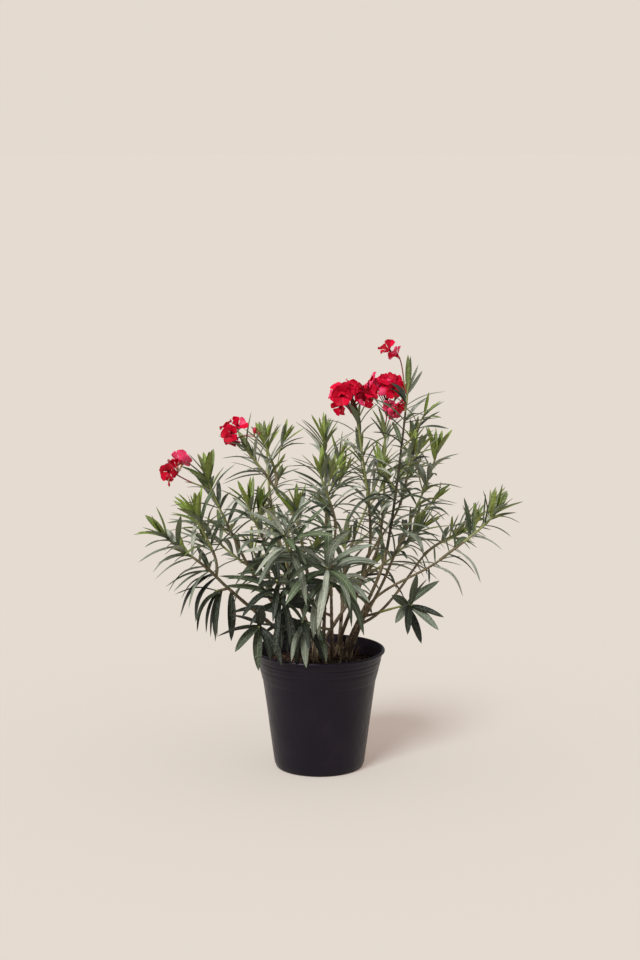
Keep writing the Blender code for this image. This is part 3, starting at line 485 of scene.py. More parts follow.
def across(direction, axis):
    """The part of a direction that is square to an axis, one unit long."""
    rest = direction - axis * direction.dot(axis)
    if rest.length < 1e-6:
        rest = axis.orthogonal()
    return rest.normalized()


Path = namedtuple("Path", "points tangents radii foot_normal controls")


def bezier(controls, t):
    a, b, c, d = controls
    s = 1.0 - t
    return a * s**3 + b * (3 * s * s * t) + c * (3 * s * t * t) + d * t**3


def bezier_tangent(controls, t):
    a, b, c, d = controls
    s = 1.0 - t
    return ((b - a) * (s * s) + (c - b) * (2 * s * t) + (d - c) * (t * t)).normalized()


def limb_path(start, leaving, foot_normal, end, rise, radii):
    """A limb's centre line: it leaves one way, ends turned up by rise, and tapers evenly."""
    chord = end - start
    reach = chord.length / 3.0
    arriving = (chord.normalized() + UP * rise).normalized()
    controls = (start, start + leaving.normalized() * reach, end - arriving * reach, end)
    count = max(2, round(chord.length / RING_SPACING))
    near_foot = min(FOOT_RING_SHARE / count, FOOT_RING_DISTANCE * radii[0] / chord.length)
    shares = [0.0, near_foot] + [i / count for i in range(1, count + 1)]
    points = [bezier(controls, share) for share in shares]
    tangents = [bezier_tangent(controls, share) for share in shares]
    taper = [radii[0] + (radii[1] - radii[0]) * share for share in shares]
    return Path(points, tangents, taper, foot_normal, controls)


def along(path, share):
    """The point, tangent and radius at a share of a path's length."""
    steps = [(b - a).length for a, b in zip(path.points, path.points[1:])]
    left = share * sum(steps)
    for i, step in enumerate(steps):
        if left <= step or i == len(steps) - 1:
            t = min(left / step, 1.0)
            point = path.points[i].lerp(path.points[i + 1], t)
            tangent = path.tangents[i].lerp(path.tangents[i + 1], t).normalized()
            return point, tangent, path.radii[i] + (path.radii[i + 1] - path.radii[i]) * t
        left -= step


def path_length(path):
    return sum((b - a).length for a, b in zip(path.points, path.points[1:]))


def start_on(carrier, share, end):
    """Where a limb starts on its carrier, which way it leaves, and how its foot is cut."""
    point, tangent, radius = along(carrier, share)
    if share >= 1:
        start = point + tangent * CLEARANCE
        return start, tangent + (end - point).normalized() * LEAVING_ALONG, tangent
    outward = across(end - point, tangent)
    start = point + outward * (radius + CLEARANCE)
    return start, outward + tangent * LEAVING_ALONG, outward


def tube(path, sides, foot_radii=()):
    """A closed tapering tube. Its first ring lies square to the path's foot normal."""
    skin, rings = Skin(), []
    side = path.foot_normal.orthogonal().normalized()
    for i, (point, tangent, radius) in enumerate(zip(path.points, path.tangents, path.radii)):
        normal = path.foot_normal if i == 0 else tangent
        side = across(side, normal)
        if i < len(foot_radii):
            radius = foot_radii[i]
        rings.append(skin.ring(circle(point, side, normal.cross(side), radius, sides)))
    for lower, upper in zip(rings, rings[1:]):
        skin.band(lower, upper)
    skin.face(rings[0])
    skin.face(rings[-1])
    return skin


def stem_path(stem):
    """A stem stands on the soil with a flat cut, and leaves it between upright and its own lean."""
    bearing, reach = stem.carrier
    foot = at_place(Place(bearing, reach, SOIL_LEVEL + CLEARANCE))
    end = at_place(stem.place)
    leaving = (end - foot).normalized() + UP * STEM_UPRIGHT
    return limb_path(foot, leaving, UP, end, stem.rise, (stem.radius, STEM_TIP_RADIUS))


Leaf = namedtuple("Leaf", "root forward side length droop")


def droop_turn(forward, angle):
    """The axis and angle that turn a direction towards the ground, never past straight down."""
    room, axis = forward.angle(-UP, 0.0), forward.cross(-UP)
    if room < LEAST_ROOM or axis.length < 1e-6 or angle <= 0:
        return UP, 0.0
    return axis.normalized(), min(angle, room * ROOM_USED)


def bend_down(forward, side, angle):
    """Turns a leaf's direction and side towards the ground by an angle."""
    axis, bend = droop_turn(forward, angle)
    if not bend:
        return forward, side
    turn = Matrix.Rotation(bend, 3, axis)
    return (turn @ forward).normalized(), (turn @ side).normalized()


def leaf_solid(leaf, spare=0.0, from_share=0.0):
    """A lance-shaped blade of flat faces with a keel below, its root ring sunk in the twig.

    Its rings are mitred to the bend at its middle. Spare makes it larger all round and
    from_share leaves its root out, both to test that it stands clear."""
    half_width = leaf.length * LEAF_WIDTH / 2
    skin = Skin()
    mitred, side = bend_down(leaf.forward, leaf.side, leaf.droop / 2)
    normal = side.cross(mitred).normalized()

    def section(centre, scale):
        edge = side * (half_width * scale + spare)
        rise = normal * (half_width * LEAF_FOLD * scale + spare)
        keel = normal * (leaf.length * LEAF_THICKNESS * scale + spare)
        return skin.ring([centre + edge + rise, centre - edge + rise, centre - keel])

    root_scale = PETIOLE_HALF_WIDTH / half_width
    root_scale += (1 - root_scale) * from_share / LEAF_MIDDLE
    first = section(leaf.root + leaf.forward * (leaf.length * from_share), root_scale)
    middle = leaf.root + leaf.forward * (leaf.length * LEAF_MIDDLE)
    widest = section(middle, 1.0)
    onward = bend_down(leaf.forward, leaf.side, leaf.droop)[0]
    skin.face(first)
    skin.band(first, widest)
    skin.close(widest, middle + onward * (leaf.length * (1 - LEAF_MIDDLE) + spare))
    return skin


def whorl_distances(leafy):
    """How far from a shoot's tip each whorl stands."""
    distance, number = TIP_INSET, 0
    while distance < leafy:
        yield number, distance
        distance += min(WHORL_TIP_GAP + WHORL_GAP_GROWTH * number, WHORL_FULL_GAP)
        number += 1


def whorl_leaf(rng, path, share, age, turn, size, droop):
    """One leaf of a whorl: upright, short and straight at the tip, spread and arched further down."""
    point, tangent, radius = along(path, share)
    grown = 1.0 - math.exp(-age / LENGTH_AGE)
    length = LEAF_LENGTH * size * (YOUNG_LENGTH + (1 - YOUNG_LENGTH) * grown) * rng.uniform(*LENGTH_RANGE)
    spread = YOUNG_SPREAD + SPREAD_GROWTH * (1.0 - math.exp(-age / SPREAD_AGE))
    spread = math.radians(spread + rng.uniform(-SPREAD_RANGE, SPREAD_RANGE))
    first = across(UP, tangent) if abs(tangent.z) < 0.95 else across(Vector((1, 0, 0)), tangent)
    outward = turned(first, tangent.cross(first), turn)
    forward = turned(tangent, outward, spread).normalized()
    side = forward.cross(tangent).normalized()
    level = forward.cross(UP)
    if level.length > 0.2:
        level.normalize()
        side = (side + level * (LEVELLING if side.dot(level) > 0 else -LEVELLING)).normalized()
        side = across(side, forward)
    bend = math.radians(ARCH) * droop * grown * rng.uniform(*ARCH_RANGE)
    sharpest = math.radians(SHARPEST_BEND)
    if bend > sharpest:
        forward, side = bend_down(forward, side, bend - sharpest)
        bend = sharpest
    return Leaf(point + outward * (radius * LEAF_ROOT_OFFSET), forward, side, length, bend)


def flower_solid(centre, facing, rng):
    """A five-petalled funnel: a notched rim, a sunken throat and a tapering tube behind it."""
    skin, rim = Skin(), []
    side, other = square_to(facing)
    start = any_turn(rng)
    for petal in range(PETALS):
        for offset, reach in ((0.0, 1.0), (0.5, FLOWER_NOTCH)):
            turn = start + (petal + offset) * 2 * math.pi / PETALS
            rim.append(centre + turned(side, other, turn) * (FLOWER_RADIUS * reach))
    ring = skin.ring(rim)
    skin.close(ring, centre - facing * (FLOWER_RADIUS * FLOWER_HOLLOW))
    skin.close(ring[::-1], centre - facing * FLOWER_TUBE)
    return skin


def bud_solid(root, facing):
    """A spindle with its root end sunk in its stalk."""
    skin = Skin()
    side, other = square_to(facing)
    middle = root + facing * (BUD_LENGTH * 0.6)
    ring = skin.ring([middle + way * BUD_RADIUS for way in (side, other, -side, -other)])
    skin.close(ring, root + facing * BUD_LENGTH)
    skin.close(ring[::-1], root - facing * BUD_HEEL)
    return skin


def rod(start, end, radius):
    """A straight three-sided stalk."""
    tangent = (end - start).normalized()
    return tube(Path([start, end], [tangent] * 2, [radius] * 2, tangent, None), SIDE_TWIG_SIDES)


def dome(count, number):
    """One of count directions spread evenly over the upper part of a ball."""
    height = DOME_TOP - DOME_DEPTH * (number + 0.5) / count
    out = math.sqrt(max(0.0, 1.0 - height * height))
    turn = number * math.radians(GOLDEN_TURN)
    return Vector((out * math.cos(turn), out * math.sin(turn), height)).normalized()


class Space:
    """What already stands, node by node, for testing that new growth keeps clear of it."""

    def __init__(self):
        self.skins, self.trees = {}, {}

    def add(self, node, skins):
        whole = self.skins.setdefault(node, Skin())
        for skin in skins:
            whole.join(skin)
        self.trees[node] = tree_of(whole)

    def touched(self, skin, own):
        """Whether a skin touches any node but its own."""
        tree = tree_of(skin)
        return any(node != own and tree.overlap(other) for node, other in self.trees.items())


def tree_of(skin):
    return BVHTree.FromPolygons([tuple(point) for point in skin.points], skin.faces)


# ---- growth, first as on the solids

Growth = namedtuple("Growth", "shoot twigs leaves blades")
Twig = namedtuple("Twig", "path length bare size")
Grown = namedtuple("Grown", "leaf age tint width", defaults=(None, None))


def side_twig(path, rng, shares, lengths, size):
    """A side twig: it leaves sideways and soon turns up."""
    share = rng.uniform(*shares)
    turn = any_turn(rng)
    length = path_length(path) * rng.uniform(*lengths)
    point, tangent, radius = along(path, share)
    outward = turned(*square_to(tangent), turn)
    heading = tangent * FORK_ALONG + outward * FORK_OUTWARD + UP * FORK_UPWARD
    end = point + heading.normalized() * length
    leaving = outward + tangent * FORK_LEAVING_ALONG
    radii = (min(SIDE_TWIG_RADIUS, radius * FORK_TAPER), TWIG_TIP_RADIUS * FORK_TAPER)
    side = limb_path(point, leaving, leaving.normalized(), end, FORK_RISE, radii)
    return Twig(side, length, FORK_BARE, size)


def placed_leaf(growth, twig, share, age, turn, rng, space, tries):
    """A leaf that keeps clear of other masses and of the shoot's own blades, or None."""
    for attempt in range(tries):
        swing = rng.uniform(-LEAF_SWING, LEAF_SWING) * (1 + SWING_GROWTH * attempt)
        leaf = whorl_leaf(rng, twig.path, share, age, turn + swing, twig.size, growth.shoot.droop)
        blade = leaf_solid(leaf, from_share=LEAF_ROOT_SHARE)
        touching = space.touched(leaf_solid(leaf, SPARE), growth.shoot.name)
        if touching or growth.blades.touched(blade, None):
            continue
        growth.blades.add(f"blade_{len(growth.blades.skins)}", [blade])
        return leaf
    return None


def add_whorl(growth, twig, distance, age, phase, rng, space, tries):
    for leaf_number in range(LEAVES_IN_A_WHORL):
        share = 1 - (distance + leaf_number * WHORL_STAGGER) / twig.length
        turn = phase + leaf_number * 2 * math.pi / LEAVES_IN_A_WHORL
        leaf = placed_leaf(growth, twig, share, age, turn, rng, space, tries)
        if leaf:
            growth.leaves.append(Grown(leaf, age))


def grow_shoot(shoot, path, rng, space):
    """The side twigs and leaves that the shoot's solid has."""
    growth = Growth(shoot, [Twig(path, path_length(path), shoot.bare, shoot.size)], [], Space())
    for _ in range(shoot.forks):
        fork = side_twig(path, rng, FORK_SHARES, FORK_LENGTHS, shoot.size * FORK_SIZE)
        if not space.touched(tube(fork.path, SIDE_TWIG_SIDES), shoot.name):
            growth.twigs.append(fork)
    for twig in growth.twigs:
        phase = any_turn(rng)
        for number, distance in whorl_distances(twig.length * (1 - twig.bare) - LEAFLESS_FOOT):
            turn = phase + number * math.pi / 3
            add_whorl(growth, twig, distance, number + shoot.age, turn, rng, space, TRIES)
    solids = [tube(twig.path, SIDE_TWIG_SIDES) for twig in growth.twigs[1:]]
    space.add(shoot.name, solids + [leaf_solid(grown.leaf) for grown in growth.leaves])
    return growth


def fill_shoot(growth, rng, space):
    """Finer side twigs, leaves between the solid's whorls and at each tip; an old shoot stays open."""
    shoot, main = growth.shoot, growth.twigs[0]
    if shoot.age >= len(FILLER_SHARES):
        add_whorl(growth, main, TIP_WHORL, shoot.age, rng.uniform(0, 2), rng, space, FILLER_TRIES)
        return
    own = list(growth.twigs)
    filled = own_or(shoot, "filling", FILLER_SHARES[shoot.age])
    for _ in range(round(main.length / FILLER_TWIG_SPACING)):
        size = main.size * FILLER_TWIG_SIZE
        twig = side_twig(main.path, rng, FILLER_TWIG_SHARES, FILLER_TWIG_LENGTHS, size)
        if space.touched(tube(twig.path, SIDE_TWIG_SIDES), shoot.name):
            continue
        growth.twigs.append(twig)
        for whorl, distance in whorl_distances(twig.length - FILLER_LEAFLESS_FOOT):
            turn = whorl * math.pi / 3
            add_whorl(growth, twig, distance, whorl + shoot.age, turn, rng, space, FILLER_TRIES)
    for twig in own:
        leafy = twig.length * (1 - twig.bare) - LEAFLESS_FOOT
        whorls = list(whorl_distances(leafy))
        for (number, near), (_, far) in list(zip(whorls, whorls[1:] + [(None, leafy)]))[1:]:
            high = along(twig.path, 1 - near / twig.length)[0].z > HIGH_CROWN
            for _ in range(LEAVES_IN_A_WHORL):
                if rng.random() > filled * (HIGH_FILLING if high else 1.0):
                    continue
                furthest = max(near + NARROW_GAP, far - WHORL_MARGIN)
                share = 1 - rng.uniform(near + WHORL_MARGIN, furthest) / twig.length
                age = number + 0.5 + shoot.age
                leaf = placed_leaf(growth, twig, share, age, any_turn(rng), rng, space, FILLER_TRIES)
                if leaf:
                    growth.leaves.append(Grown(leaf, age))
        age = TIP_WHORL_AGE + shoot.age
        add_whorl(growth, twig, TIP_WHORL, age, rng.uniform(0, 2), rng, space, FILLER_TRIES)
    space.add(shoot.name, [leaf_solid(grown.leaf) for grown in growth.leaves])


# ---- fine meshes


def new_object(name, data):
    made = bpy.data.objects.new(name, data)
    bpy.context.scene.collection.objects.link(made)
    return made


def piece(name, skin, materials, nodes, sharp=60):
    """A smooth-shaded object on the root body, standing for the frame's nodes that it replaces."""
    mesh = bpy.data.meshes.new(name)
    mesh.from_pydata([tuple(point) for point in skin.points], [], skin.faces)
    for made in materials:
        mesh.materials.append(made)
    mesh.polygons.foreach_set("material_index", skin.tones)
    mesh.shade_smooth()
    mesh.set_sharp_from_angle(angle=math.radians(sharp))
    obj = new_object(name, mesh)
    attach(obj, "root")
    if nodes:
        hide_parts(*nodes)


def smooth_step(value):
    value = min(1.0, max(0.0, value))
    return value * value * (3 - 2 * value)


def draw_limb(skin, path, spacing, count, swelling=lambda share: 1.0, tone=lambda share: 0, relief=0.0,
              heel=HEEL):
    """A limb with a sunk foot and a rounded tip.

    swelling and tone give a ring's radius over the plain one and its tone, both from its share."""
    steps = max(3, round((path.controls[3] - path.controls[0]).length / spacing))
    line = []
    for i in range(steps + 1):
        share = i / steps
        radius = path.radii[0] + (path.radii[-1] - path.radii[0]) * share
        line.append((bezier(path.controls, share), bezier_tangent(path.controls, share), radius, share))
    if heel:
        point, tangent, radius, _ = line[0]
        line.insert(0, (point - tangent * heel, tangent, radius * HEEL_GIRTH, 0.0))
    side, rings = path.foot_normal.orthogonal(), []
    for point, tangent, radius, share in line:
        side = across(side, tangent)
        around = []
        for a in turns(count):
            out = turned(side, tangent.cross(side), a)
            rough = 1.0
            if relief:
                rough += relief * noise.noise((point + out * radius) * BARK_GRAIN)
            around.append(point + out * (radius * swelling(share) * rough))
        rings.append(skin.ring(around))
    for lower, upper, step in zip(rings, rings[1:], line):
        skin.band(lower, upper, (tone(step[3]),))
    skin.face(reversed(rings[0]), tone(0.0))
    point, tangent, radius, _ = line[-1]
    skin.close(rings[-1], point + tangent * radius * TIP_ROUNDING, (tone(1.0),))


def draw_leaf(skin, leaf, tint, width_share, reach_share, rng):
    """A closed blade: a folded upper side with a rib strip, and a paler keeled underside."""
    top, under, rib = range(tint, tint + 3)
    tones = (under, under, under, top, rib, top)
    reach_share *= rng.uniform(*REACH_RANGE)
    leaf = leaf._replace(length=leaf.length * reach_share)
    half_width = leaf.length / reach_share * LEAF_WIDTH / 2 * width_share * rng.uniform(*WIDTH_RANGE)
    twist = rng.uniform(-LEAF_TWIST, LEAF_TWIST)
    sway = rng.uniform(-LEAF_SWAY, LEAF_SWAY)
    axis, bend = droop_turn(leaf.forward, leaf.droop * rng.uniform(*DROOP_RANGE))
    step = (leaf.length + LEAF_ROOT_DEPTH) / LEAF_RINGS
    point = leaf.root - leaf.forward * LEAF_ROOT_DEPTH
    before = None
    for k in range(LEAF_RINGS):
        t = k / LEAF_RINGS
        turn = Matrix.Rotation(bend * smooth_step((t - BEND_FROM) / BEND_RUN), 3, axis)
        forward = turn @ leaf.forward
        side = turn @ leaf.side
        normal = side.cross(forward).normalized()
        forward = (forward + side * sway * t).normalized()
        side = across(side + normal * twist * t, forward)
        normal = side.cross(forward)
        shape = (t / LEAF_MIDDLE) ** LEAF_MIDDLE * ((1 - t) / (1 - LEAF_MIDDLE)) ** (1 - LEAF_MIDDLE)
        width = max(half_width * shape ** BLADE_SHAPE, PETIOLE_HALF_WIDTH * (1 - 0.5 * t))
        rib_half = min(leaf.length * RIB_HALF_WIDTH * (1 - 0.55 * t), width * 0.7)
        keel = normal * (leaf.length * KEEL_DEPTH * (1 - 0.75 * t) + LEAST_KEEL)
        edge, crest = side * width, normal * width * (BLADE_FOLD * (1 - 0.5 * t))
        inset, rise = side * rib_half, normal * rib_half * 0.2
        ring = skin.ring([point + edge + crest, point + inset - keel, point - inset - keel,
                          point - edge + crest, point - inset + rise, point + inset + rise])
        if before:
            skin.band(before, ring, tones)
        else:
            skin.face(reversed(ring), under)
        before = ring
        point = point + forward * step
    skin.close(before, point, tones)


def draw_petal(skin, face, facing, out, phase, tone, reach, cup):
    """A broad petal as a thin closed shell: narrow at the throat, round and a little wavy at the end."""
    lateral = facing.cross(out)
    columns = PETAL_COLUMNS
    half_width = PETAL_HALF_WIDTH * reach / PETAL_REACH
    top = []
    for u in PETAL_SHARES:
        narrow = THROAT_RADIUS * 0.55
        width = narrow + (half_width - narrow) * smooth_step(u / PETAL_WIDEST)
        width *= math.sqrt(1.04 - max(0.0, (u - PETAL_WIDEST) / (1 - PETAL_WIDEST)) ** 2)
        row = []
        for v in columns:
            along_petal = THROAT_RADIUS * 0.8 + (reach - THROAT_RADIUS) * u - PETAL_ROUNDING * u * u * v * v
            rise = -THROAT_DEPTH * (1 - u) ** 2 + PETAL_BULGE * math.sin(math.pi * u) + cup * reach * u * u
            rise += PETAL_HOLLOW * v * v * u + PETAL_TILT * v * u
            rise += PETAL_RUFFLE * u * math.sin(1.5 * math.pi * v + phase)
            across_petal = width * v + PETAL_SWEEP * u * u
            row.append(face + out * along_petal + lateral * across_petal + facing * rise)
        top.append(skin.ring(row))
    bottom = [skin.ring([skin.points[i] - facing * PETAL_THICKNESS for i in row]) for row in top]
    for i in range(len(top) - 1):
        for j in range(len(columns) - 1):
            skin.face((top[i][j], top[i + 1][j], top[i + 1][j + 1], top[i][j + 1]), tone)
            skin.face((bottom[i][j + 1], bottom[i + 1][j + 1], bottom[i + 1][j], bottom[i][j]), tone)
    edge = [(i, 0) for i in range(len(top))] + [(len(top) - 1, j) for j in range(1, len(columns))]
    edge += [(i, len(columns) - 1) for i in range(len(top) - 2, -1, -1)]
    edge += [(0, j) for j in range(len(columns) - 2, 0, -1)]
    for (i, j), (k, m) in zip(edge, edge[1:] + edge[:1]):
        skin.face((top[i][j], bottom[i][j], bottom[k][m], top[k][m]), tone)


def draw_lathe(skin, base, facing, profile, count, tones):
    """A closed turned shape on a line: profile holds (distance along, radius), first and last 0 wide."""
    rings = [skin.ring(circle(base + facing * distance, *square_to(facing), radius, count))
             for distance, radius in profile[1:-1]]
    skin.close(rings[0][::-1], base + facing * profile[0][0], tones[:1])
    for number, (lower, upper) in enumerate(zip(rings, rings[1:])):
        skin.band(lower, upper, (tones[min(number, len(tones) - 1)],))
    skin.close(rings[-1], base + facing * profile[-1][0], tones[-1:])


# ---- flowers

TrussParts = namedtuple("TrussParts", "stalk buds crotch")
Bloom = namedtuple("Bloom", "face facing size tone")

# Flowers set one by one: (offset from the truss's middle, way it faces, size, tone). Each tone paints
# the flower's light and shade: pink and bright on lit flowers, mid and deep on shaded ones. A large
# truss fills a flattened ball besides: (how many, its half widths, offset of its middle).
PETAL_BRIGHT, PETAL_MID, PETAL_DEEP, PETAL_PINK_HIGHLIGHT, PETAL_THROAT = range(5)
SINGLE_FLOWERS = {
    "blossom_top": (
        ((-0.005, -0.004, 0.004), (-0.62, -0.30, 0.74), 0.88, PETAL_DEEP),
        ((0.010, -0.002, -0.008), (-0.60, 0.40, 0.62), 0.76, PETAL_PINK_HIGHLIGHT)),
    "blossom_tall_mid": (
        ((0.026, -0.010, 0.000), (0.5, -0.8, 0.3), 0.90, PETAL_DEEP),
        ((0.034, 0.004, 0.010), (0.4, -0.3, 0.8), 0.86, PETAL_BRIGHT),
        ((-0.022, -0.010, -0.017), (-0.6, -0.7, -0.4), 0.80, PETAL_MID)),
    "blossom_back_mid": (
        ((0.015, -0.008, -0.026), (0.3, -0.8, -0.5), 0.68, PETAL_PINK_HIGHLIGHT),
        ((0.025, -0.010, -0.012), (0.7, -0.6, -0.2), 0.76, PETAL_BRIGHT),
        ((0.005, -0.014, -0.011), (-0.2, -0.9, -0.3), 0.70, PETAL_PINK_HIGHLIGHT)),
    "blossom_left_high": (
        ((-0.005, -0.014, -0.001), (-0.45, -0.85, 0.15), 0.90, PETAL_MID),
        ((0.011, -0.006, 0.015), (0.30, -0.60, 0.75), 0.78, PETAL_BRIGHT),
        ((-0.002, -0.008, -0.016), (-0.10, -0.75, -0.65), 0.78, PETAL_DEEP),
        ((-0.013, 0.008, 0.013), (-0.60, 0.20, 0.80), 0.72, PETAL_MID)),
    "blossom_left": (
        ((-0.0165, -0.012, -0.010), (-0.40, -0.88, -0.10), 0.88, PETAL_DEEP),
        ((0.008, 0.002, 0.012), (0.42, 0.72, 0.50), 0.98, PETAL_PINK_HIGHLIGHT),
        ((-0.004, 0.006, 0.003), (-0.3, 0.7, 0.6), 0.66, PETAL_MID)),
}
CLUSTERS = {
    "blossom_tall_mid": (9, (0.027, 0.022, 0.019), (-0.005, 0.0, 0.005)),
    "blossom_back_mid": (13, (0.035, 0.022, 0.024), (-0.001, 0.0, 0.019)),
}
# Further buds of a truss, some small and brown: (foot, way they point, length, radius, whether red).
FURTHER_BUDS = {
    "blossom_left_high": (
        ((0.038, -0.016, -0.004), (0.10, 0, 1), 0.015, 0.0040, True),
        ((0.043, -0.012, -0.008), (0.35, 0, 1), 0.012, 0.0032, True)),
    "blossom_left": (
        ((-0.0145, -0.014, -0.022), (0.05, 0, -1), 0.014, 0.0022, True),
        ((0.004, -0.012, -0.006), (-0.4, -0.2, 1), 0.010, 0.0015, False),
        ((0.007, -0.014, -0.005), (0.1, -0.2, 1), 0.011, 0.0015, False),
        ((0.001, -0.012, -0.010), (-0.7, -0.2, 0.8), 0.009, 0.0014, False)),
}
# How far the fine stalk's head stands off its solid's.
CROTCH_SHIFTS = {"blossom_top": Vector((0.018, 0.0, -0.004))}


def truss_parts(truss, path, rng):
    """The stalk and buds of a truss as on its solid, and the solid, for keeping leaves clear of it."""
    centre = at_place(truss.place)
    start, leaving, foot_normal = start_on(path, truss.share, centre)
    crotch = centre - UP * (truss.spread * CROTCH_DEPTH)
    radius = min(PEDUNCLE_RADIUS, along(path, truss.share)[2])
    stalk = limb_path(start, leaving, foot_normal, crotch, STALK_RISE, (radius, radius * STALK_TAPER))
    foot, buds, solids = crotch - UP * PEDICEL_HEEL, [], [tube(stalk, TWIG_SIDES)]
    for number in range(truss.flowers):
        facing = dome(truss.flowers, number)
        facing = (facing + Vector((0.0, -FLOWER_TO_FRONT, 0.0))).normalized()
        face = centre + facing * (truss.spread * rng.uniform(*FLOWER_DEPTHS))
        solids += [flower_solid(face, facing, rng),
                   rod(foot, face - facing * (FLOWER_TUBE * 0.75), PEDICEL_RADIUS)]
    for number in range(truss.buds):
        turn = math.radians(GOLDEN_TURN) * number + 0.6
        facing = Vector((math.cos(turn) * BUD_LEAN, math.sin(turn) * BUD_LEAN, 1.0)).normalized()
        root = crotch + facing * (truss.spread * 0.75 + 0.004)
        buds.append((root, facing))
        solids += [rod(foot, root + facing * 0.003, PEDICEL_RADIUS * 0.9), bud_solid(root, facing)]
    return TrussParts(stalk, buds, crotch), solids


def blooms_of(truss, rng):
    """Where the fine flowers stand, inside the reach of the truss's solid."""
    centre = at_place(truss.place)
    blooms = [Bloom(centre + Vector(offset), Vector(facing).normalized(), size, tone)
              for offset, facing, size, tone in SINGLE_FLOWERS[truss.name]]
    if truss.name not in CLUSTERS:
        return blooms
    count, half_widths, offset = CLUSTERS[truss.name]
    for number in range(count):
        out = dome(count, number)
        out = Vector((out.x, out.y, out.z + 0.1)).normalized()
        depth = rng.uniform(*BLOOM_DEPTHS)
        face = centre + Vector(offset) + Vector([o * w * depth for o, w in zip(out, half_widths)])
        sway = Vector([rng.uniform(-BLOOM_SWAY, BLOOM_SWAY) for _ in range(3)])
        # a painted light and shade tone for the flower, dealt at random
        tone = rng.choices((PETAL_BRIGHT, PETAL_MID, PETAL_DEEP), SHADE_WEIGHTS)[0]
        facing = (out + sway + Vector((0, -0.2, 0))).normalized()
        blooms.append(Bloom(face, facing, rng.uniform(*BLOOM_SIZES), tone))
    return blooms


def draw_flower(skin, bloom, rng):
    """Five petals that overlap like a pinwheel, a dark throat and the tube behind it."""
    face, facing, size, shade = bloom
    side, other = square_to(facing)
    start = any_turn(rng)
    cup = rng.uniform(*PETAL_CUP)
    for petal in range(PETALS):
        turn = start + petal * 2 * math.pi / PETALS + rng.uniform(-PETAL_SWING, PETAL_SWING)
        out = turned(side, other, turn)
        # petals that leave their flower's tone get a painted highlight, mostly pink
        plain = rng.random() < SHADE_SHARE
        tone = shade if plain else rng.choice((PETAL_PINK_HIGHLIGHT, PETAL_PINK_HIGHLIGHT, PETAL_BRIGHT, PETAL_MID))
        draw_petal(skin, face, facing, out, rng.uniform(0, 6.28), tone,
                   PETAL_REACH * size * rng.uniform(*PETAL_REACHES), cup + rng.uniform(-0.10, 0.10))
    profile = ((THROAT_DEPTH + 0.004, 0), (THROAT_DEPTH, THROAT_RADIUS * 0.97),
               (THROAT_DEPTH, THROAT_RADIUS * 1.1), (THROAT_DEPTH + 0.003, THROAT_RADIUS * 0.75),
               (FLOWER_TUBE, 0.0015), (FLOWER_TUBE + 0.001, 0))
    tones = (PETAL_THROAT, PETAL_DEEP, PETAL_MID, PETAL_MID)
    draw_lathe(skin, face, -facing, profile, THROAT_POINTS, tones)


def draw_stalk(skin, start, end, radius, tone, sag=0.12):
    """A thin stalk that bows a little."""
    chord = end - start
    bow = across(UP, chord.normalized()) * chord.length * sag
    controls = (start, start + chord / 3 + bow, start + chord * 2 / 3 + bow, end)
    path = Path(None, None, (radius, radius * 0.85), chord.normalized(), controls)
    draw_limb(skin, path, STALK_SPACING, STALK_POINTS, tone=lambda share: tone, heel=0)


def draw_bud(skin, root, facing, tones, length=BUD_LENGTH, radius=BUD_RADIUS):
    profile = [(length * t, radius * r) for t, r in BUD_PROFILE]
    draw_lathe(skin, root, facing, [(-BUD_HEEL, 0)] + profile + [(length, 0)], FLOWER_POINTS, tones)


def blossom_pieces(parts, materials, rng):
    """The petals of all trusses, and their stalks and buds."""
    petals, stalks = Skin(), Skin()
    for truss, made in parts:
        shift = CROTCH_SHIFTS.get(truss.name, Vector())
        crotch = made.crotch + shift
        start, leaving, arriving, end = made.stalk.controls
        stalk = made.stalk._replace(controls=(start, leaving + shift * 0.6, arriving + shift, end + shift))
        draw_limb(stalks, stalk, PEDUNCLE_SPACING, FLOWER_POINTS,
                  tone=lambda share: STALK_GREEN if share < 0.5 else STALK_RED, heel=STEM_HEEL)
        for bloom in blooms_of(truss, rng):
            draw_flower(petals, bloom, rng)
            tail = bloom.face - bloom.facing * FLOWER_TUBE
            draw_stalk(stalks, crotch, tail, PEDICEL_RADIUS, STALK_RED)
            draw_lathe(stalks, tail + bloom.facing * 0.005, -bloom.facing, CALYX_PROFILE, FLOWER_POINTS,
                       (STALK_RED, STALK_RED, STALK_GREEN))
        for root, facing in () if truss.name in CROTCH_SHIFTS else made.buds:
            draw_stalk(stalks, crotch, root, PEDICEL_RADIUS * 0.9, STALK_RED)
            draw_bud(stalks, root, facing, (STALK_GREEN, STALK_GREEN, STALK_RED, STALK_RED))
        for foot, facing, length, radius, red in FURTHER_BUDS.get(truss.name, ()):
            root = at_place(truss.place) + Vector(foot)
            stalk_tone, tone = (STALK_RED, BUD_RED) if red else (STALK_AMBER, STALK_AMBER)
            draw_stalk(stalks, crotch, root, PEDICEL_RADIUS * 0.8, stalk_tone)
            tones = (STALK_GREEN, tone, tone, tone)
            draw_bud(stalks, root, Vector(facing).normalized(), tones, length, radius)
    names = [truss.name for truss, _ in parts]
    piece("petals", petals, materials["petals"], names, sharp=50)
    piece("flower_stalks", stalks, materials["stalks"], names)


# ---- leaves, twigs and bark

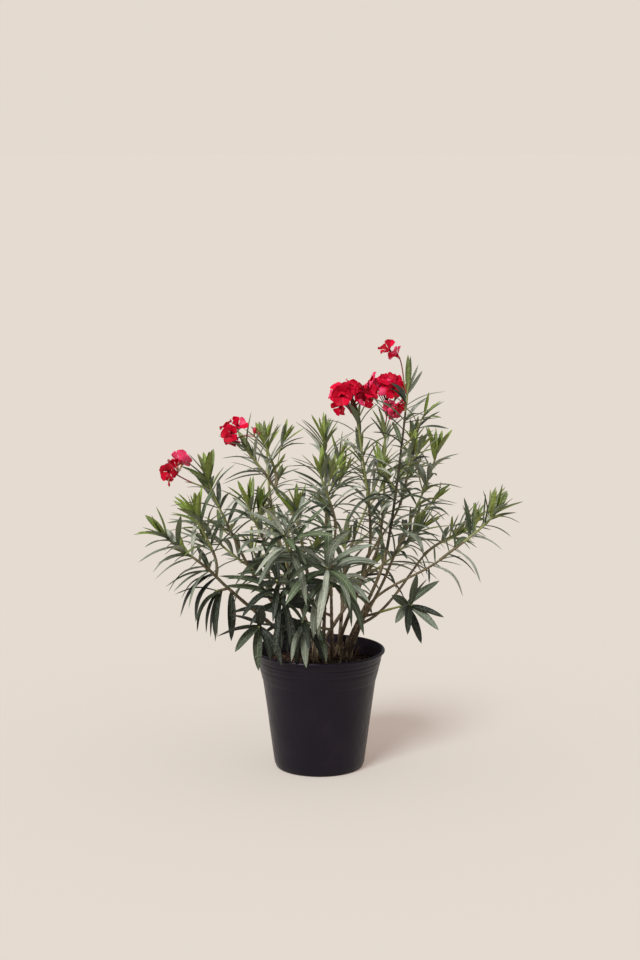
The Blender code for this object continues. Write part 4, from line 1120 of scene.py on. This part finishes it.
# A leaf takes its tint from how old it is and how high it stands in the crown. The height bands
# paint light and shade: low leaves mostly dark as painted shade under the crown, high ones mostly
# pale as painted light and sheen, and deep tints among the upper leaves as painted shade.
TINT_BANDS = (
    (0.335, ("dark", "deep", "green"), (0.62, 0.27, 0.11)),
    (0.430, ("deep", "green", "grey", "pale"), (0.26, 0.27, 0.29, 0.18)),
    (0.550, ("deep", "green", "grey", "pale", "fresh"), (0.16, 0.15, 0.24, 0.33, 0.12)),
    (1.000, ("deep", "green", "grey", "pale", "fresh"), (0.09, 0.08, 0.15, 0.56, 0.12)),
)
# Upright leaves that close a shoot's tip: (share of the twig, way they point, length, age).
SPEARS = {
    "foliage_tall_right": (
        (0.950, (0.02, -0.10, 1.0), 0.080, 1.0), (0.955, (0.12, 0.12, 1.0), 0.068, 1.2),
        (0.950, (0.40, -0.05, 1.0), 0.060, 2.2), (0.930, (0.62, 0.05, 1.0), 0.062, 2.2)),
}
SPEAR_CLEARS = 0.036  # how far from the tip the spread leaves stop
LOW_SHOOT = 0.35  # a tip lower than this has no young leaves
YOUNG_AGE, FRESH_AGE = 0.9, 1.6  # up to which leaves are young, and mostly fresh
YOUNG_SHARE = 0.72  # of the youngest leaves; the others are fresh
FRESH_WEIGHTS = (0.22, 0.48, 0.30)
TINT_BLUR = 0.03  # by which a band of tints runs into the next
# Shoots whose leaves take their tints otherwise: the tints and their weights. The dark tints of the
# low, inner and hanging shoots are painted shade.
SHOOT_TINTS = {
    "foliage_left_hanging": (("dark", "deep"), (0.90, 0.10)),
    "foliage_pot_left": (("dark", "deep"), (0.80, 0.20)),
    "foliage_low_left": (("dark", "deep", "grey"), (0.80, 0.16, 0.04)),
    "foliage_left_inside": (("dark", "deep", "green"), (0.62, 0.28, 0.10)),
    "foliage_pot_front": (("dark", "deep", "grey"), (0.35, 0.25, 0.40)),
    "foliage_pot_right": (("dark", "deep", "grey"), (0.40, 0.24, 0.36)),
    "foliage_tall_right": (("dark", "deep", "green", "grey", "pale"), (0.18, 0.30, 0.18, 0.16, 0.18)),
}


def leaf_tint(shoot, leaf, age, rng):
    """The tint of a leaf that the rule grew."""
    if age < YOUNG_AGE and shoot.place.height > LOW_SHOOT:
        return "young" if rng.random() < YOUNG_SHARE else "fresh"
    if age < FRESH_AGE and shoot.place.height > LOW_SHOOT and not shoot.age:
        return rng.choices(("young", "fresh", "green"), FRESH_WEIGHTS)[0]
    if shoot.name in SHOOT_TINTS:
        return rng.choices(*SHOOT_TINTS[shoot.name])[0]
    height = leaf.root.z + rng.uniform(-TINT_BLUR, TINT_BLUR)
    names, weights = next((names, weights) for top, names, weights in TINT_BANDS if height < top)
    return rng.choices(names, weights)[0]


def leaf_shape(shoot, age):
    """A leaf's width and length over its solid's."""
    if shoot.age > 2:
        return OLD_WIDTH / shoot.size, 1.0
    if shoot.age or shoot.droop > HANGING_DROOP:
        return own_or(shoot, "width", HANGING_WIDTH), 1.0
    width = own_or(shoot, "width", SLENDER_WIDTH)
    width += own_or(shoot, "widening", YOUNG_WIDENING) * math.exp(-age)
    return width, GROWN_REACH + (1 - GROWN_REACH) * math.exp(-age * age)


def crown_side(bearing):
    """Which of the four leaf pieces a shoot's leaves go to."""
    if 50 < bearing < 160:
        return "back"
    if -60 < bearing <= 50:
        return "right"
    return "front" if -135 < bearing <= -60 else "left"


def spear_leaves(growth):
    """Closes the tip of a shoot that ends in a spear, in place of its spread youngest leaves."""
    path = growth.twigs[0].path
    tip = along(path, 1.0)[0]
    leaves = [grown for grown in growth.leaves if grown.tint or (grown.leaf.root - tip).length > SPEAR_CLEARS]
    for share, forward, length, age in SPEARS[growth.shoot.name]:
        forward = Vector(forward).normalized()
        side = across(Vector((1.0, 0.3 * (len(leaves) % 2), 0.0)), forward)
        leaves.append(Grown(Leaf(along(path, share)[0], forward, side, length, 0.0), age))
    return leaves


def leaf_pieces(growths, materials, rng):
    """All leaves, in one piece for each side of the crown."""
    skins = {side: (Skin(), []) for side in ("right", "left", "front", "back")}
    for growth in growths:
        skin, names = skins[crown_side(growth.shoot.place.bearing)]
        names.append(growth.shoot.name)
        leaves = spear_leaves(growth) if growth.shoot.name in SPEARS else growth.leaves
        for grown in leaves:
            if grown.tint:
                tint, width, reach = grown.tint, grown.width, 1.0
            else:
                tint = leaf_tint(growth.shoot, grown.leaf, grown.age, rng)
                width, reach = leaf_shape(growth.shoot, grown.age)
            draw_leaf(skin, grown.leaf, TINTS.index(tint) * 3, width, reach, rng)
    for side, (skin, names) in skins.items():
        piece(f"leaves_{side}", skin, materials["leaves"], names, sharp=70)


def twig_piece(growths, materials):
    """All twigs, thicker where their leaves stand, brown at the foot and green further on; the main twig
    of a shoot that ends in a spear is near-black over most of its length, painted shade.
    """
    skin = Skin()
    for growth in growths:
        for twig in growth.twigs:
            main = twig is growth.twigs[0]
            whorls = [1 - distance / twig.length for _, distance in whorl_distances(twig.length)]
            girth = MAIN_TWIG_GIRTH if main else 1.0
            low = growth.shoot.place.height < LOW_SHOOT or main
            woody_and_shaded, green_from = TWIG_BROWN, BROWN_SHARE if low else 0.0
            if growth.shoot.name in SPEARS and main:
                woody_and_shaded, green_from = TWIG_SHADED, DARK_SHARE

            def swelling(share):
                nearest = min(abs(share - whorl) for whorl in whorls) * twig.length
                return girth * (1.0 + WHORL_SWELLING * math.exp(-(nearest / WHORL_SWELLING_RUN) ** 2))

            draw_limb(skin, twig.path, TWIG_SPACING, TWIG_POINTS, swelling,
                      lambda share: woody_and_shaded if share < green_from else TWIG_GREEN, heel=TWIG_HEEL)
    piece("twigs", skin, materials["twigs"], [growth.shoot.name for growth in growths])


def bark_piece(limbs, materials):
    """All stems and boughs, with leaf scars, fine ridges and a flare where a stem stands in the soil."""
    skin = Skin()
    for _, path, is_stem in limbs:
        length = path_length(path)

        def swelling(share):
            run = share * length
            scar = abs((run + SCAR_SPACING / 2) % SCAR_SPACING - SCAR_SPACING / 2)
            wide = 1.0 + SCAR_SWELLING * math.exp(-(scar / SCAR_RUN) ** 2)
            return wide * BARK_GIRTH + (FOOT_GIRTH - 1) * math.exp(-run / FOOT_RUN) * is_stem

        draw_limb(skin, path, LIMB_SPACING, STEM_POINTS if is_stem else BOUGH_POINTS, swelling,
                  relief=BARK_RELIEF, heel=STEM_HEEL if is_stem else HEEL)
    piece("stems_and_boughs", skin, materials["bark"], [limb.name for limb, _, _ in limbs])


# ---- pot and soil


def wall_radius(height):
    """The outside of the pot's plain wall at a height, without the collar's steps."""
    if height < POT_COLLAR_HEIGHT:
        return POT_BASE_RADIUS + (POT_COLLAR_RADIUS - POT_BASE_RADIUS) * height / POT_COLLAR_HEIGHT
    share = (height - POT_COLLAR_HEIGHT) / (POT_HEIGHT - POT_COLLAR_HEIGHT)
    return POT_COLLAR_RADIUS + (POT_RIM_RADIUS - POT_LIP - POT_COLLAR_RADIUS) * share


def inner_radius(height):
    """The inside of the pot's wall at a height; the collar is a little wider than the body."""
    if height > POT_COLLAR_HEIGHT:
        return wall_radius(height) - POT_WALL
    return wall_radius(height) - POT_STEP - POT_WALL


def pot_profile():
    """From the middle of the underside up the outside, over the lip and down the inside."""
    outline = [(0, 0), (POT_BASE_RADIUS - POT_FOOT_ROUNDING, 0)]
    for degrees in (45, 90):
        a = math.radians(degrees)
        outline.append((POT_BASE_RADIUS - POT_FOOT_ROUNDING * (1 - math.sin(a)),
                        POT_FOOT_ROUNDING * (1 - math.cos(a))))
    outline += [(POT_COLLAR_RADIUS - POT_STEP, POT_COLLAR_HEIGHT - 0.001),
                (POT_COLLAR_RADIUS, POT_COLLAR_HEIGHT)]
    for height in POT_STEP_HEIGHTS:
        outline += [(wall_radius(height) - POT_STEP, height - 0.0008), (wall_radius(height), height)]
    outline += [(wall_radius(POT_LIP_FOOT), POT_LIP_FOOT - 0.0005),
                (POT_RIM_RADIUS, POT_HEIGHT - POT_LIP),
                (POT_RIM_RADIUS - POT_LIP * 0.6, POT_HEIGHT),
                (inner_radius(POT_HEIGHT), POT_HEIGHT - 0.0006)]
    for height in (POT_COLLAR_HEIGHT + 0.001, POT_COLLAR_HEIGHT - 0.002, POT_FLOOR):
        outline.append((inner_radius(height), height))
    return outline + [(0, POT_FLOOR)]


def soil_profile():
    """The soil fills the pot to its level, a little inside the wall and over the floor."""
    outline = [(0, POT_FLOOR + CLEARANCE)]
    for height in (POT_FLOOR + CLEARANCE, POT_COLLAR_HEIGHT - 0.002,
                   POT_COLLAR_HEIGHT + 0.001, SOIL_LEVEL - 0.003):
        outline.append((inner_radius(height) - SOIL_GAP, height))
    return outline + [(inner_radius(SOIL_LEVEL) - 0.006, SOIL_LEVEL), (0, SOIL_LEVEL)]


def arc(centre, radius, start, end, steps):
    """Points of an arc about a (radius, height) centre, angles in degrees."""
    turns = [math.radians(start + (end - start) * k / steps) for k in range(steps + 1)]
    return [(centre[0] + radius * math.cos(a), centre[1] + radius * math.sin(a)) for a in turns]


def ring_relief(height):
    """How far the moulded rings stand out of the wall at a height."""
    return sum(depth * math.exp(-((height - at) / POT_RING_WIDTH) ** 2) for at, depth in POT_RINGS)


def fine_pot_profile():
    """The solid's profile with a rounded foot and lip, and the collar's moulded steps and rings."""
    def outer(height):
        radius = wall_radius(height) + ring_relief(height)
        if height < POT_COLLAR_HEIGHT:
            share = smooth_step((height - POT_COLLAR_HEIGHT + 0.004) / 0.004)
            return radius - POT_STEP * (1 - share) * height / POT_COLLAR_HEIGHT
        for step in POT_STEP_HEIGHTS:
            radius -= POT_STEP * 0.9 * smooth_step(1 - abs(height - step + 0.0016) / 0.0022)
        return radius

    foot = (POT_BASE_RADIUS - POT_FOOT_ROUNDING - POT_STEP, POT_FOOT_ROUNDING)
    outline = [(0, 0)] + arc(foot, POT_FOOT_ROUNDING, -90, 0, 6)
    heights = [POT_FOOT_ROUNDING + 0.004 + k * 0.008 for k in range(19)]
    heights += [POT_COLLAR_HEIGHT - 0.006 + k * 0.0011 for k in range(49)]
    outline += [(outer(height), height) for height in heights if height < POT_LIP_FOOT - 0.0006]
    outline += arc((POT_RIM_RADIUS - POT_LIP, POT_HEIGHT - POT_LIP), POT_LIP, -80, 140, 10)
    for height in [POT_HEIGHT - 0.003 - k * 0.0015 for k in range(24)]:
        radius = inner_radius(height) + ring_relief(height)
        outline.append((min(radius, POT_RIM_RADIUS - POT_LIP - 0.002), height))
    return outline + [(inner_radius(POT_COLLAR_HEIGHT - 0.002), POT_COLLAR_HEIGHT - 0.002),
                      (inner_radius(POT_FLOOR), POT_FLOOR), (0, POT_FLOOR)]


def lathe_skin(profile, count, wobble=lambda turn, height: 0.0):
    """A turned shape on the Z axis, its inside from the highest ring on in the second tone.

    wobble moves a point in or out, from its turn and height."""
    highest = max(range(len(profile)), key=lambda number: profile[number][1])
    skin, rings = Skin(), []
    for radius, height in profile:
        spots = [Vector((math.cos(a), math.sin(a), 0)) * (radius + wobble(a, height)) + UP * height
                 for a in turns(count)]
        rings.append(skin.ring(spots if radius else [UP * height]))
    for number, (lower, upper) in enumerate(zip(rings, rings[1:])):
        tones = (int(number >= highest),)
        if len(lower) == 1:
            skin.fan(upper[::-1], lower[0], tones)
        elif len(upper) == 1:
            skin.fan(lower, upper[0], tones)
        else:
            skin.band(lower, upper, tones)
    return skin


def pot_piece(materials):
    def wobble(turn, height):
        spot = Vector((math.cos(turn) * 1.6, math.sin(turn) * 1.6, height * 14))
        return POT_WOBBLE * noise.noise(spot) * smooth_step(height / 0.08)

    skin = lathe_skin(fine_pot_profile(), POT_POINTS, wobble)
    piece("nursery_pot", skin, materials["pot"], ["pot"], sharp=40)


def soil_height(x, y):
    """The bed's surface: gently heaped, with coarse and fine lumps."""
    coarse = noise.noise(Vector((x * 38, y * 38, 2.0)))
    fine = noise.noise(Vector((x * 150, y * 150, 7.0)))
    return SOIL_LEVEL - 0.0012 + 0.0022 * coarse + 0.0013 * fine


def soil_piece(materials):
    """The bed fills the pot like its solid; crumbs of bark and peat lie on it."""
    edge = inner_radius(SOIL_LEVEL) - SOIL_GAP - 0.0004
    skin, rings = Skin(), []
    for radius, height in soil_profile()[1:-3]:
        rings.append(skin.ring([Vector((radius * math.cos(a), radius * math.sin(a), height))
                                for a in turns(SOIL_POINTS)]))
    for k in range(SOIL_RINGS, 0, -1):
        radius = edge * k / SOIL_RINGS
        spots = [(radius * math.cos(a), radius * math.sin(a)) for a in turns(SOIL_POINTS)]
        rings.append(skin.ring([Vector((x, y, soil_height(x, y))) for x, y in spots]))
    skin.face(reversed(rings[0]))
    for lower, upper in zip(rings, rings[1:]):
        skin.band(lower, upper)
    skin.close(rings[-1], Vector((0, 0, soil_height(0, 0))))
    piece("soil_bed", skin, materials["soil"], ["soil"])

    rng, crumbs = random.Random(SEED + 3), Skin()
    for _ in range(CRUMBS):
        reach = edge * math.sqrt(rng.random()) * 0.985
        turn = any_turn(rng)
        x, y = reach * math.cos(turn), reach * math.sin(turn)
        size = rng.choice(CRUMB_SIZES)
        centre = Vector((x, y, soil_height(x, y) + size * 0.35))
        draw_crumb(crumbs, centre, size, rng.choice((0, 0, 1, 1, 2)), rng)
    piece("soil_crumbs", crumbs, materials["crumbs"], ["soil"], sharp=30)


def dry_piece(limbs, materials):
    """Stubs and dry fibres of old shoots, standing round the feet of the stems."""
    rng, skin = random.Random(SEED + 4), Skin()
    feet = [path.controls[0] for _, path, is_stem in limbs if is_stem]
    for _ in range(DRY_STALKS):
        foot = rng.choice(feet)
        turn, reach = any_turn(rng), rng.uniform(0.006, 0.020)
        x, y = foot.x + math.cos(turn) * reach, foot.y + math.sin(turn) * reach
        start = Vector((x, y, soil_height(x, y) - 0.003))
        length = rng.uniform(0.012, 0.042)
        lean = Vector((math.cos(turn) * rng.uniform(0.0, 0.6), math.sin(turn) * rng.uniform(0.0, 0.6), 1.0))
        radius, tone = rng.choice((0.0005, 0.0008, 0.0012)), rng.choice((0, 0, 1))
        end = start + lean.normalized() * length
        draw_stalk(skin, start, end, radius, tone, sag=rng.uniform(-0.1, 0.1))
    piece("dry_stalks", skin, materials["dry"], [])


def draw_crumb(skin, centre, size, tone, rng):
    """A rough lump, longer one way than the others."""
    turn = Matrix.Rotation(rng.uniform(0, 6.28), 3, "Z") @ Matrix.Rotation(rng.uniform(-0.5, 0.5), 3, "X")
    shape = Vector((rng.uniform(1.0, 1.9), rng.uniform(0.7, 1.1), rng.uniform(0.5, 0.8))) * size

    def spot(a, height, radius):
        rough = rng.uniform(0.8, 1.15)
        local = Vector((math.cos(a) * radius * shape.x, math.sin(a) * radius * shape.y, height * shape.z))
        return centre + turn @ (local * rough)

    lower, upper = (skin.ring([spot(k * math.pi * 0.4 + ahead, height, 0.88) for k in range(5)])
                    for ahead, height in ((0.0, -0.45), (0.3, 0.45)))
    skin.band(lower, upper, (tone,))
    skin.close(upper, spot(0, 1, 0), (tone,))
    skin.close(lower[::-1], spot(0, -1, 0), (tone,))


# ---- materials


def linear(red, green, blue):
    """A base colour from its 0 to 255 screen values."""
    values = [v / 255 for v in (red, green, blue)]
    return [v / 12.92 if v <= 0.04045 else ((v + 0.055) / 1.055) ** 2.4 for v in values] + [1.0]


def set_inputs(tree, node, **inputs):
    """Sets a node's inputs, or links them where the value is an output; _ stands for a space."""
    for name, value in inputs.items():
        socket = node.inputs[name.replace("_", " ")]
        if isinstance(value, bpy.types.NodeSocket):
            tree.links.new(value, socket)
        else:
            socket.default_value = value


def add_node(tree, kind, output=0, **inputs):
    """Adds a node and gives its output."""
    node = tree.nodes.new("ShaderNode" + kind)
    set_inputs(tree, node, **inputs)
    return node.outputs[output]


def new_material(name, roughness, specular=0.5, **inputs):
    made = bpy.data.materials.new(name)
    made.use_nodes = True
    shader = made.node_tree.nodes["Principled BSDF"]
    set_inputs(made.node_tree, shader, Roughness=roughness, Specular_IOR_Level=specular, **inputs)
    return made, made.node_tree, shader


def add_noise(tree, scale, detail=4.0, stretch=(1, 1, 1)):
    """A noise over the object's own coordinates, in cycles per metre."""
    where = add_node(tree, "Mapping", Scale=stretch, Vector=add_node(tree, "TexCoord", "Object"))
    return add_node(tree, "TexNoise", "Fac", Scale=scale, Detail=detail, Vector=where)


def add_ramp(tree, value, *stops):
    """Colours by a value, from stops of (position, red, green, blue)."""
    colour = add_node(tree, "ValToRGB", "Color", Fac=value)
    ends = colour.node.color_ramp.elements
    while len(ends) < len(stops):
        ends.new(0.5)
    for end, (position, *tone) in zip(ends, stops):
        end.position = position
        end.color = linear(*tone)
    return colour


def add_bump(tree, value, distance):
    return add_node(tree, "Bump", "Normal", Distance=distance, Height=value)


def grown_material(name, colour, roughness, specular=0.5, grain=900, depth=0.00012, **inputs):
    """Leaf, petal or twig: a plain base colour with a fine skin of pores and veins."""
    made, tree, shader = new_material(name, roughness, specular, Base_Color=linear(*colour), **inputs)
    set_inputs(tree, shader, Normal=add_bump(tree, add_noise(tree, grain), depth))
    return made


def petal_material(name, colour, roughness, specular=0.12):
    """Thin and velvety: some of the light comes through from the far side."""
    return grown_material(name, colour, roughness, specular, 500, Subsurface_Weight=0.45,
                          Subsurface_Radius=(1.0, 0.12, 0.25), Subsurface_Scale=0.003)


def bark_material():
    """Grey-brown at the foot and olive further up, with ridges and pale pores."""
    made, tree, shader = new_material("bark_fine", 0.78, 0.35)
    level = add_node(tree, "SeparateXYZ", "Z", Vector=add_node(tree, "TexCoord", "Object"))
    height = add_node(tree, "MapRange", "Result", From_Min=SOIL_LEVEL, From_Max=0.50, Value=level)
    streaks = add_noise(tree, 420, 5.0, (1, 1, 0.22))
    lower = add_ramp(tree, streaks, (0.30, 58, 44, 37), (0.50, 104, 85, 70), (0.70, 150, 130, 108))
    upper = add_ramp(tree, streaks, (0.30, 80, 74, 48), (0.52, 120, 112, 78), (0.72, 160, 150, 112))
    mix = tree.nodes.new("ShaderNodeMix")
    mix.data_type = "RGBA"
    set_inputs(tree, mix, Factor=height, A=lower, B=upper)
    set_inputs(tree, shader, Base_Color=mix.outputs["Result"], Normal=add_bump(tree, streaks, 0.0007))
    return made


def plastic_material(name, dark, middle, light):
    """Near-black satin plastic, faintly violet and cloudy, with dust and fine scuffs."""
    made, tree, shader = new_material(name, 0.36, 0.27, Specular_Tint=(0.93, 0.82, 1.0, 1.0))
    colour = add_ramp(tree, add_noise(tree, 16, 6.0), (0.30, *dark), (0.55, *middle), (0.75, *light))
    scuffs = add_noise(tree, 130, 8.0, (1, 1, 0.35))
    rough = add_node(tree, "MapRange", "Result", From_Min=0.30, From_Max=0.75, To_Min=0.32, To_Max=0.48,
                     Value=scuffs)
    set_inputs(tree, shader, Base_Color=colour, Roughness=rough, Normal=add_bump(tree, scuffs, 0.00018))
    return made


def soil_material():
    made, tree, shader = new_material("soil_fine", 0.95, 0.2)
    grains = add_noise(tree, 520, 6.0)
    colour = add_ramp(tree, grains, (0.32, 32, 23, 21), (0.50, 64, 45, 38), (0.68, 100, 74, 60))
    set_inputs(tree, shader, Base_Color=colour, Normal=add_bump(tree, grains, 0.0016))
    return made


TINT_COLOURS = {  # of the upper side, the underside and the rib
    "young": ((114, 134, 42), (138, 150, 74), (166, 176, 96)),
    "fresh": ((98, 112, 52), (128, 136, 86), (150, 158, 104)),
    "green": ((82, 96, 66), (112, 120, 94), (140, 148, 116)),
    "grey": ((114, 122, 104), (138, 143, 124), (166, 170, 150)),
    # pale: a grey-green, partly the leaves' own bloom and partly painted light and sheen
    "pale": ((158, 162, 144), (172, 174, 156), (196, 198, 180)),
    # deep and dark: darker greens for leaves in shade, painted shade, dark the most
    "deep": ((58, 68, 46), (88, 96, 72), (112, 121, 90)),
    "dark": ((29, 35, 21), (52, 58, 41), (70, 78, 54)),
}
TINTS = tuple(TINT_COLOURS)
LEAF_SIDES = (("", 0.42, 0.5, 210, 0.0040), ("_underside", 0.60, 0.35, 210, 0.0030), ("_rib", 0.45))
# Plain materials: name, colour, roughness, then specular level, grain and depth of the grain if given.
GROWN_MATERIALS = {
    "twigs": (("twig_green", (136, 140, 84), 0.50), ("twig_brown", (112, 100, 72), 0.65),
              # the last: a near-black olive that paints the shade of a back-lit twig
              ("twig_shaded", (58, 52, 34), 0.60)),
    "stalks": (("stalk_green", (124, 128, 78), 0.55), ("stalk_red", (142, 56, 56), 0.55),
               ("stalk_amber", (180, 112, 70), 0.55), ("bud_red", (176, 14, 40), 0.5)),
    "dry": (("dry_tan", (194, 172, 140), 0.85, 0.25, 700, 0.0003),
            ("dry_brown", (136, 110, 84), 0.85, 0.25, 700, 0.0003)),
    "crumbs": (("crumb_dark", (38, 27, 25), 0.95, 0.2, 700, 0.0006),
               ("crumb_brown", (72, 51, 43), 0.95, 0.2, 700, 0.0006),
               ("crumb_pale", (116, 92, 76), 0.95, 0.2, 700, 0.0006)),
}
# One crimson in lit and shaded copies: bright, mid and deep are painted light and shade, pink is a painted
# highlight.
PETAL_MATERIALS = (("petal_bright", (212, 0, 48), 0.55), ("petal_mid", (184, 0, 38), 0.55),
                   ("petal_deep", (150, 0, 28), 0.55), ("petal_pink_highlight", (232, 62, 104), 0.50, 0.2),
                   ("petal_throat", (110, 0, 24), 0.65))
STALK_GREEN, STALK_RED, STALK_AMBER, BUD_RED = range(4)
TWIG_GREEN, TWIG_BROWN, TWIG_SHADED = range(3)
POT_OUTSIDE = ((9, 6, 14), (15, 11, 21), (27, 21, 31))
# The inside is the same plastic painted much lighter than the outside: painted light against the shade inside
# the rim.
POT_INSIDE_LIGHTENED = ((50, 43, 52), (58, 50, 60), (70, 61, 70))
POT_RINGS = ((0.2005, 0.0004), (0.1930, 0.0003), (0.1815, 0.0003))


def make_materials():
    made = {kind: [grown_material(*row) for row in rows] for kind, rows in GROWN_MATERIALS.items()}
    made["leaves"] = [grown_material(f"leaf_{tint}{side}", colour, *look) for tint in TINTS
                      for colour, (side, *look) in zip(TINT_COLOURS[tint], LEAF_SIDES)]
    made["petals"] = [petal_material(*row) for row in PETAL_MATERIALS]
    made["bark"] = [bark_material()]
    made["soil"] = [soil_material()]
    made["pot"] = [plastic_material("pot_plastic_fine", *POT_OUTSIDE),
                   plastic_material("pot_inside_lightened", *POT_INSIDE_LIGHTENED)]
    return made


# ---- floor, light and camera

BACKDROP = linear(228, 218, 208)
AMBIENT = 0.40  # the share of the floor's light that comes from all round
KEY_STRENGTH = 3.3
KEY_ELEVATION = 48  # degrees
KEY_BEARING = -132  # where the key light stands, in degrees as on the plan
KEY_SIZE = 14  # degrees across
FLOOR_FILL = (0.30, 0.235, 0.215)  # light that the pot's shadow keeps, a little warm
FLOOR_LIGHT_ELEVATION = 31  # the light on the floor, which takes the pot's shadow
FLOOR_LIGHT_BEARING = -117
FLOOR_LIGHT_SIZE = 24
FLOOR_GAIN = 1.012  # makes up for what the crown keeps off the floor
FLOOR_RADIUS = 60.0
FLOOR_SIDES = 64


def make_stage():
    """A seamless pale floor and backdrop; one soft key light on the plant, and two lights on the floor."""
    mesh = bpy.data.meshes.new("floor")
    rim = [Vector((math.cos(a), math.sin(a), 0)) * FLOOR_RADIUS for a in turns(FLOOR_SIDES)]
    mesh.from_pydata([tuple(point) for point in rim], [], [tuple(range(FLOOR_SIDES))])
    mesh.materials.append(new_material("floor_paper", 1.0, 0.0, Base_Color=BACKDROP)[0])
    floor = new_object("floor", mesh)

    world = bpy.data.worlds.new("studio")
    world.use_nodes = True
    tree = world.node_tree
    around = tree.nodes["Background"]
    set_inputs(tree, around, Color=(1, 1, 1, 1), Strength=AMBIENT)
    seen = add_node(tree, "LightPath", "Is Camera Ray")
    mixed = add_node(tree, "MixShader", Fac=seen)
    tree.links.new(around.outputs[0], mixed.node.inputs[1])
    tree.links.new(add_node(tree, "Background", Color=BACKDROP), mixed.node.inputs[2])
    tree.links.new(mixed, tree.nodes["World Output"].inputs["Surface"])
    bpy.context.scene.world = world

    plant_only = linked("plant_only", floor, "EXCLUDE")
    floor_only = linked("floor_only", floor, "INCLUDE")
    add_sun("key", KEY_STRENGTH, KEY_BEARING, KEY_ELEVATION, KEY_SIZE, plant_only)
    level = math.pi / math.sin(math.radians(FLOOR_LIGHT_ELEVATION))
    place = (FLOOR_LIGHT_BEARING, FLOOR_LIGHT_ELEVATION, FLOOR_LIGHT_SIZE)
    wash, fill = (add_sun(name, level, *place, floor_only) for name in ("floor_light", "floor_fill"))
    wash.data.color = [FLOOR_GAIN - AMBIENT - value for value in FLOOR_FILL]
    wash.light_linking.blocker_collection = linked("pot_shadow", bpy.data.objects["nursery_pot"], "INCLUDE")
    fill.data.color = FLOOR_FILL
    fill.data.use_shadow = False
    bpy.context.scene.view_settings.view_transform = "Standard"


def add_sun(name, strength, bearing, elevation, size, receivers):
    data = bpy.data.lights.new(name, "SUN")
    data.angle = math.radians(size)
    data.energy = strength
    rise = math.radians(elevation)
    towards = at_place(Place(bearing, math.cos(rise), math.sin(rise)))
    lamp = new_object(name, data)
    lamp.rotation_euler = towards.to_track_quat("Z", "Y").to_euler()
    lamp.light_linking.receiver_collection = receivers
    return lamp


def linked(name, obj, state):
    """A collection that ties a light to one object, or to all but that one."""
    made = bpy.data.collections.new(name)
    made.objects.link(obj)
    made.collection_objects[0].light_linking.link_state = state
    return made


CAMERA_PLACE = (0.001, -4.0, 1.19)
CAMERA_TILT = 9.33  # degrees below level
CAMERA_LENS = 84.11  # millimetres, on a 36 mm sensor


def make_camera():
    data = bpy.data.cameras.new("camera")
    data.lens = CAMERA_LENS
    data.sensor_width = 36.0
    camera = new_object("camera", data)
    camera.location = CAMERA_PLACE
    camera.rotation_euler = (math.radians(90 - CAMERA_TILT), 0, 0)
    bpy.context.scene.camera = camera


# ---- the whole plant


def grow_plant():
    """Every limb, truss and shoot: first all that the solids hold, then what fills between."""
    space, paths, limbs = Space(), {}, []
    space.add("pot", [lathe_skin(pot_profile(), POT_SIDES)])
    space.add("soil", [lathe_skin(soil_profile(), POT_SIDES)])
    for stem in STEMS:
        paths[stem.name] = stem_path(stem)
        flare = [stem.radius * share for share in STEM_FLARE]
        space.add(stem.name, [tube(paths[stem.name], STEM_SIDES, flare)])
        limbs.append((stem, paths[stem.name], True))
    for limb in BOUGHS + SHOOTS:
        end = at_place(limb.place)
        start, leaving, foot_normal = start_on(paths[limb.carrier], limb.share, end)
        is_bough = limb in BOUGHS
        widest = limb.radius if is_bough else BOUGH_TIP_RADIUS
        radius = min(widest, along(paths[limb.carrier], limb.share)[2])
        tip = BOUGH_TIP_RADIUS if is_bough else TWIG_TIP_RADIUS
        path = limb_path(start, leaving, foot_normal, end, limb.rise, (radius, tip))
        paths[limb.name] = path
        space.add(limb.name, [tube(path, BOUGH_SIDES if is_bough else TWIG_SIDES)])
        if is_bough:
            limbs.append((limb, path, False))
    trusses = []
    for number, truss in enumerate(TRUSSES):
        made, solids = truss_parts(truss, paths[truss.carrier], random.Random(SEED * 100 + number))
        space.add(truss.name, solids)
        trusses.append((truss, made))
    growths = [grow_shoot(shoot, paths[shoot.name], random.Random(SEED * 1000 + number), space)
               for number, shoot in enumerate(SHOOTS)]
    for number, growth in enumerate(growths):
        fill_shoot(growth, random.Random(SEED * 5000 + number), space)
    add_single_leaves(paths, growths)
    return limbs, trusses, growths


def add_single_leaves(paths, growths):
    """Adds the leaves that are set one by one."""
    for growth in growths:
        limb, leaves = SINGLE_LEAVES.get(growth.shoot.name, (None, ()))
        for share, forward, length, droop, width, tint in leaves:
            point, tangent, radius = along(paths[limb], share)
            forward = Vector(forward).normalized()
            root = point + across(forward, tangent) * (radius * SINGLE_LEAF_OFFSET)
            leaf = Leaf(root, forward, across(forward.cross(UP), forward), length, droop)
            growth.leaves.append(Grown(leaf, None, tint, width))


def main():
    materials = make_materials()
    limbs, trusses, growths = grow_plant()
    bark_piece(limbs, materials)
    twig_piece(growths, materials)
    leaf_pieces(growths, materials, random.Random(SEED + 1))
    blossom_pieces(trusses, materials, random.Random(SEED + 2))
    pot_piece(materials)
    soil_piece(materials)
    dry_piece(limbs, materials)
    make_stage()
    make_camera()
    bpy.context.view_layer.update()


main()
